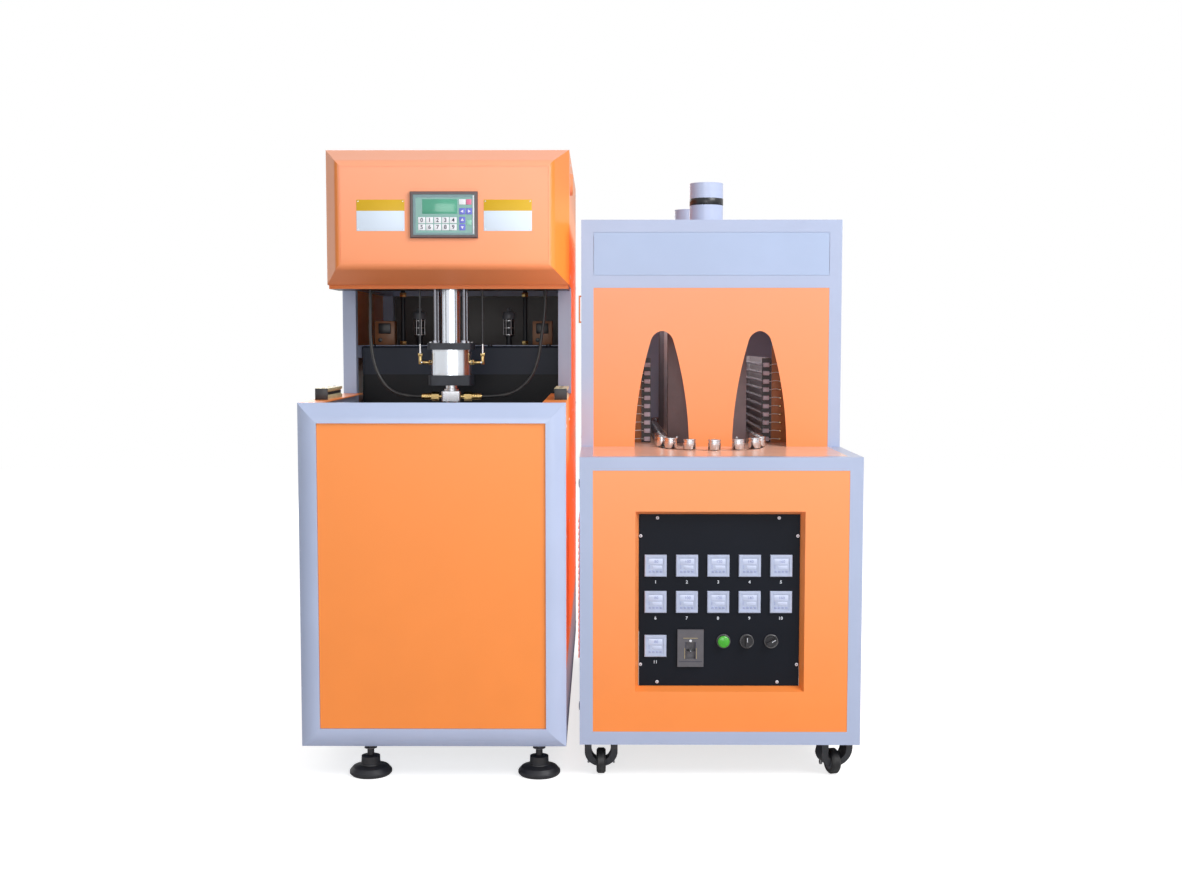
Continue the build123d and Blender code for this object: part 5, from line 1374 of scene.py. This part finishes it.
@dataclass
class PreformHolders:
    """The turned, ringed heads of the preform holders on their chain."""

    pitch: float = 0.0381
    teeth: int = 25
    straight: float = 25.5
    shift: float = 0.25
    front_y: float = FRONT_Y + 0.407
    base: float = 0.937
    top: float = 0.968
    chain_z: float = 0.909

    def spots(self) -> list[tuple[float, float]]:
        """Finds the middle of every holder along the chain's two runs and two half turns.

        Returns:
            The x and y of each.
        """
        half = self.teeth / 2
        back_y = self.front_y + self.straight * self.pitch
        found = []
        for link in range(0, int(2 * (half + self.straight)), 2):
            at = link + self.shift
            if at < half:
                angle = radians(180 + 360 * at / self.teeth)
                found.append((HEATER_X + TURN_R * cos(angle), self.front_y + TURN_R * sin(angle)))
            elif at < half + self.straight:
                found.append((HEATER_X + TURN_R, self.front_y + (at - half) * self.pitch))
            elif at < 2 * half + self.straight:
                angle = radians(360 * (at - half - self.straight) / self.teeth)
                found.append((HEATER_X + TURN_R * cos(angle), back_y + TURN_R * sin(angle)))
            else:
                found.append((HEATER_X - TURN_R, back_y - (at - 2 * half - self.straight) * self.pitch))
        return found

    def build(self) -> None:
        """Makes the head of each holder: a ringed flange with a mandrel cup on it."""
        heads, bores = Work("holder_heads"), Work("holder_bores")
        low, high = self.base, self.top
        profile = ((0.0, low + 0.0005), (0.0186, low + 0.0005), (0.0193, low + 0.0015), (0.0193, high - 0.0110),
                   (0.0178, high - 0.0095), (0.0178, high - 0.0050), (0.0193, high - 0.0035), (0.0193, high - 0.0012),
                   (0.0183, high), (0.0112, high), (0.0112, high - 0.0040), (0.0, high - 0.0040))
        for x, y in self.spots():
            heads.turned((x, y, 0.0), Axis.Z, profile, 20)
            bores.ring((x, y, high - 0.0037), Axis.Z, 0.0, 0.0108, 0.0005, 16)
        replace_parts(heads.finish(Palette.bright, slot="steel"), "preform_holders")
        bores.finish(Palette.band_black, slot="rubber")
        self.spindles()

    def spindles(self) -> None:
        """Makes the hexagonal spindle under each head, down to the chain."""
        work = Work("holder_spindles")
        for x, y in self.spots():
            work.rod((x, y, self.chain_z), Axis.Z, self.base + 0.001 - self.chain_z, 0.0060, 6)
        work.finish(Palette.ground, slot="steel")


@dataclass
class RailsAndFeet:
    """End stops and screws of the mould change rails, and lock nuts of the levelling feet."""

    rails: Sequence[float] = (BLOWER_X - 0.347, BLOWER_X + 0.360)
    front: float = FRONT_Y + 0.179
    length: float = 0.233
    level: float = 1.090
    feet: Sequence[tuple[float, float]] = ((-0.194, 0.062), (0.299, 0.062), (-0.299, 1.560), (0.299, 1.560))
    screw: Profile = ((0.0, -0.0004), (0.0052, -0.0004), (0.0052, 0.0005), (0.0042, 0.0011), (0.0026, 0.0011),
                      (0.0026, 0.0002), (0.0, 0.0002))
    collar: Profile = ((0.0275, 0.0), (0.0310, 0.0), (0.0300, 0.0030), (0.0278, 0.0042))
    sole: Profile = ((0.0608, 0.0062), (0.0616, 0.0072), (0.0616, 0.0122), (0.0608, 0.0132))

    def build(self) -> None:
        """Makes the stops, the screws and the nuts."""
        stops, screws = Work("rail_stops"), Work("rail_screws")
        for x in self.rails:
            stops.box((x - 0.0188, self.front - 0.0035, self.level + 0.0005),
                      (x + 0.0188, self.front, self.level + 0.0335), 0.0008)
            for side in SIDES:
                stops.box((x + side * 0.0131, self.front, self.level + 0.0142),
                          (x + side * 0.0150, self.front + self.length, self.level + 0.0218))
            for share in (0.12, 0.5, 0.88):
                spot = (x, self.front + share * self.length, self.level + 0.034)
                screws.turned(spot, Axis.Z, self.screw, 20)
        stops.finish(Palette.rail_black, slot="dark_steel")
        screws.finish(Palette.dark_steel, slot="dark_steel")
        nuts, rings = Work("foot_nuts"), Work("foot_rings")
        for dx, dy in self.feet:
            x, y = BLOWER_X + dx, FRONT_Y + dy
            nuts.rod((x, y, 0.0800), Axis.Z, 0.0110, 0.0165, 6, 0.0011)
            nuts.ring((x, y, 0.0780), Axis.Z, 0.0101, 0.0185, 0.0020, 28)
            rings.turned((x, y, 0.0300), Axis.Z, self.collar, 36)
            rings.turned((x, y, 0.0), Axis.Z, self.sole, 48)
        nuts.finish(Palette.foot_steel, slot="dark_steel")
        rings.finish(Palette.foot, slot="black_plastic")


@dataclass
class AirSet:
    """Caps, collars and bodies of the air treatment set behind the rear platen."""

    y: float = FRONT_Y + 0.980
    shelf: float = 1.249
    bowl_x: float = 0.157
    valve_x: float = 0.275
    riser_x: float = 0.214
    riser_top: float = 1.4170
    cap: Profile = ((0.0174, 0.0), (0.0225, 0.0), (0.0232, 0.0015), (0.0232, 0.0210), (0.0205, 0.0250),
                    (0.0110, 0.0275), (0.0, 0.0275), (0.0, 0.0262), (0.0174, 0.0200))

    def build(self) -> None:
        """Makes the bowls' trim and the valves' bodies."""
        caps, guards = Work("bowl_caps"), Work("bowl_guards")
        bodies, coils, unions = Work("valve_bodies"), Work("valve_coils"), Work("riser_unions")
        foot = self.shelf + 0.030
        for side in SIDES:
            x = BLOWER_X + side * self.bowl_x
            caps.turned((x, self.y, foot + 0.060), Axis.Z, self.cap, 32)
            caps.rod((x, self.y, foot + 0.0865), Axis.Z, 0.0120, 0.0085, 6, 0.0008)
            for bar in range(6):
                angle = bar * pi / 3
                spot = (x + 0.0178 * cos(angle), self.y + 0.0178 * sin(angle), foot + 0.006)
                guards.rod(spot, Axis.Z, 0.054, 0.0014, 8)
            for level in (0.005, 0.029, 0.054):
                guards.ring((x, self.y, foot + level), Axis.Z, 0.0174, 0.0190, 0.002)
            x = BLOWER_X + side * self.valve_x
            bodies.box((x - 0.0354, self.y - 0.0284, self.shelf), (x + 0.0354, self.y + 0.0284, self.shelf + 0.0845),
                       0.003, 3)
            coils.box((x - 0.0214, self.y - 0.0364, self.shelf + 0.040),
                      (x + 0.0214, self.y - 0.0284, self.shelf + 0.076), 0.003)
            coils.rod((x - 0.016, self.y - 0.0284, self.shelf + 0.018), Axis.Y, -0.005, 0.0075, 24, 0.001)
            for z in (self.shelf, self.riser_top):
                unions.rod((BLOWER_X + side * self.riser_x, self.y, z), Axis.Z, 0.0150, 0.0125, 6, 0.0010)
        caps.finish(Palette.cap_grey, slot="grey_plastic")
        guards.finish(Palette.ground, slot="steel")
        bodies.finish(Palette.amber, slot="dark_steel")
        coils.finish(Palette.black_plastic, slot="black_plastic")
        unions.finish(Palette.brass, slot="brass")


@dataclass
class Casters:
    """Hub faces, tread ribs, axle nuts and raceways of the four casters."""

    half: float = 0.341
    rear_y: float = FRONT_Y + 1.560
    front_y: float = FRONT_Y + 0.057
    trail: float = 0.018
    wheel_half: float = 0.0135
    radius: float = 0.037
    raceway: Profile = ((0.0172, 0.0962), (0.0270, 0.0962), (0.0290, 0.0985), (0.0290, 0.1000), (0.0172, 0.1000))
    rib: Profile = ((0.0366, -0.0011), (0.0370, -0.0008), (0.0370, 0.0008), (0.0366, 0.0011))

    def build(self) -> None:
        """Makes the trim of each caster in its own turn."""
        for name, side, y, swing in (("front_left", -1, self.front_y, 0.0), ("front_right", 1, self.front_y, 16.0),
                                     ("rear_left", -1, self.rear_y, 0.0), ("rear_right", 1, self.rear_y, 0.0)):
            place = Matrix.Translation((HEATER_X + side * self.half, y, 0.0))
            pivot = place @ Matrix.Rotation(radians(swing), 4, "Z")
            self.wheel(name, pivot)
            self.fork(name, pivot)

    def wheel(self, name: str, pivot: Matrix) -> None:
        """Makes the hub faces and the tread's ribs of one wheel.

        Args:
            name: The caster's name.
            pivot: The place and turn of its swivel axis on the floor.
        """
        hub, tread = Work(f"{name}_hub"), Work(f"{name}_tread")
        for side in SIDES:
            face = ((0.0, 0.0), (0.0235, 0.0), (0.0245, side * -0.0006), (0.0235, side * 0.0003),
                    (0.0160, side * 0.0004), (0.0, side * 0.0004))
            hub.turned((side * self.wheel_half, self.trail, self.radius), Axis.X, face, 32)
        for at in (-0.006, 0.0, 0.006):
            tread.turned((at, self.trail, self.radius), Axis.X, self.rib, 48)
        for work, look in ((hub, Palette.hub_grey), (tread, Palette.tyre)):
            bmesh.ops.transform(work.bm, matrix=pivot, verts=work.bm.verts)
            work.finish(look, f"{name}_roll", "tyre")

    def fork(self, name: str, pivot: Matrix) -> None:
        """Makes the axle's nuts and the raceway of one fork.

        Args:
            name: The caster's name.
            pivot: The place and turn of its swivel axis on the floor.
        """
        fork = Work(f"{name}_axle_nuts")
        for side in SIDES:
            fork.rod((side * 0.0340, self.trail, self.radius), Axis.X, side * 0.0060, 0.0078, 6, 0.0007)
        fork.turned((0.0, 0.0, 0.0), Axis.Z, self.raceway, 36)
        bmesh.ops.transform(fork.bm, matrix=pivot, verts=fork.bm.verts)
        fork.finish(Palette.ground, f"{name}_caster", "steel")


@dataclass
class CoverScrews:
    """Screws round the loose covers of both stations, and the latches of the heater's lower panels."""

    back: Sequence[tuple[float, float, Sequence[float]]] = (
        (HEATER_X, 0.350, (0.180, 0.400, 0.640, 0.870, 0.985, 1.200, 1.400, 1.585)),
        (BLOWER_X, 0.362, (0.140, 0.430, 0.760, 1.080, 1.400, 1.620, 1.820)))
    flanks: Sequence[tuple[float, float, Sequence[float], Sequence[float]]] = (
        (HEATER_X, HEATER_HALF, (0.460, 0.820, 1.200, 1.582), (0.962, 1.586)),
        (BLOWER_X, BLOWER_HALF, (0.060, 0.420, 1.020, 1.614), (0.140, 0.360, 0.700, 1.020)),
        (BLOWER_X, BLOWER_HALF, (0.640, 1.060, 1.604), (1.470, 1.830)))

    def build(self) -> None:
        """Makes the screws of each panel that the photograph or the kind shows screwed on."""
        heads = Work("cover_screws")
        for side in SIDES:
            for middle, across, levels in self.back:
                for z in levels:
                    self.head(heads, (middle + side * across, BACK_Y, z), Vector((0, 1, 0)))
            for middle, across, depths, levels in self.flanks:
                for y in depths:
                    for z in levels:
                        self.head(heads, (middle + side * across, FRONT_Y + y, z), Vector((side, 0, 0)))
        heads.finish(Palette.screw_white, slot="steel")
        self.latches()

    def latches(self) -> None:
        """Makes the quarter-turn latches of the heater's louvred side panels."""
        bodies, slots = Work("panel_latches"), Work("panel_latch_slots")
        for side in SIDES:
            x = HEATER_X + side * HEATER_HALF
            for y, z in corners(FRONT_Y + 0.815, 0.520, 0.705, 0.330):
                bodies.rod((x, y, z), Axis.X, side * 0.0028, 0.0130, 28, 0.0008)
                bodies.rod((x, y, z), Axis.X, side * 0.0038, 0.0088, 24, 0.0006)
                slots.box((x + side * 0.0036, y - 0.0062, z - 0.0012),
                          (x + side * 0.0040, y + 0.0062, z + 0.0012), 0.0001)
        bodies.finish(Palette.yoke_steel, slot="dark_steel")
        slots.finish(Palette.rim_grey, slot="grey_plastic")

    def head(self, work: Work, place: Point, out: Vector) -> None:
        """Adds one flat round screw head.

        Args:
            work: The piece it goes to.
            place: The middle of its seat.
            out: The way it looks.
        """
        base = Matrix.Translation(Vector(place) + out * 0.0006) @ out.to_track_quat("Z", "Y").to_matrix().to_4x4()
        made = bmesh.ops.create_cone(work.bm, cap_ends=True, segments=16, radius1=0.0052, radius2=0.0040,
                                     depth=0.0012, matrix=base)["verts"]
        top = dict.fromkeys(f for v in made for f in v.link_faces if len(f.verts) == 16)
        bmesh.ops.inset_individual(work.bm, faces=list(top), thickness=0.0015, depth=0.0)


@dataclass
class ClampTrim:
    """Socket screws along the rear platen's top, and the water nipples on both mould halves."""

    screw: Profile = ((0.0, 0.0), (0.0080, 0.0), (0.0080, 0.0048), (0.0070, 0.0060), (0.0042, 0.0060),
                      (0.0042, 0.0020), (0.0, 0.0020))
    mould_top: float = 1.012

    def build(self) -> None:
        """Makes the trim of both platens."""
        rear = Work("rear_platen_bolts")
        for x in (-0.300, -0.100, 0.100, 0.300):
            rear.turned((BLOWER_X + x, 0.0595, 1.2460), Axis.Z, self.screw, 24)
        rear.finish(Palette.dark_steel, "rear_clamp", "dark_steel")
        self.nipples("rear_mould_nipples", "rear_clamp", -0.0600)
        self.nipples("front_mould_nipples", "front_clamp", -0.4500)

    def nipples(self, name: str, body: str, y: float) -> None:
        """Makes the water nipples on the top of one mould half.

        Args:
            name: The piece's name.
            body: The body that the mould half moves with.
            y: The row's place across the clamp.
        """
        work = Work(name)
        for side in SIDES:
            x, z = BLOWER_X + side * 0.120, self.mould_top
            work.rod((x, y, z), Axis.Z, 0.009, 0.0100, 6, 0.0010)
            work.rod((x, y, z + 0.009), Axis.Z, 0.014, 0.0060, 16, 0.0008, 0.0050)
            work.rod((x, y, z + 0.015), Axis.Z, 0.003, 0.0068, 16, 0.0006)
        work.finish(Palette.brass, body, "brass")


def main() -> None:
    """Builds the dressed machine on its CAD frame."""
    logging.basicConfig(level=logging.INFO, format="%(message)s")
    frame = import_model()
    bpy.context.scene.view_settings.view_transform = "Standard"
    studio = Studio()
    studio.camera()
    BlowHoses().build()
    studio.room()
    studio.lamps()
    FrameLooks().dress(frame["nodes"])
    for kind in (BlowingHead, NoticePlates, Display, ControlPanel, ExhaustDucts, TunnelLamps, PreformHolders,
                 RailsAndFeet, AirSet, Casters, ClampTrim, CoverScrews):
        kind().build()


if __name__ == "__main__":
    main()
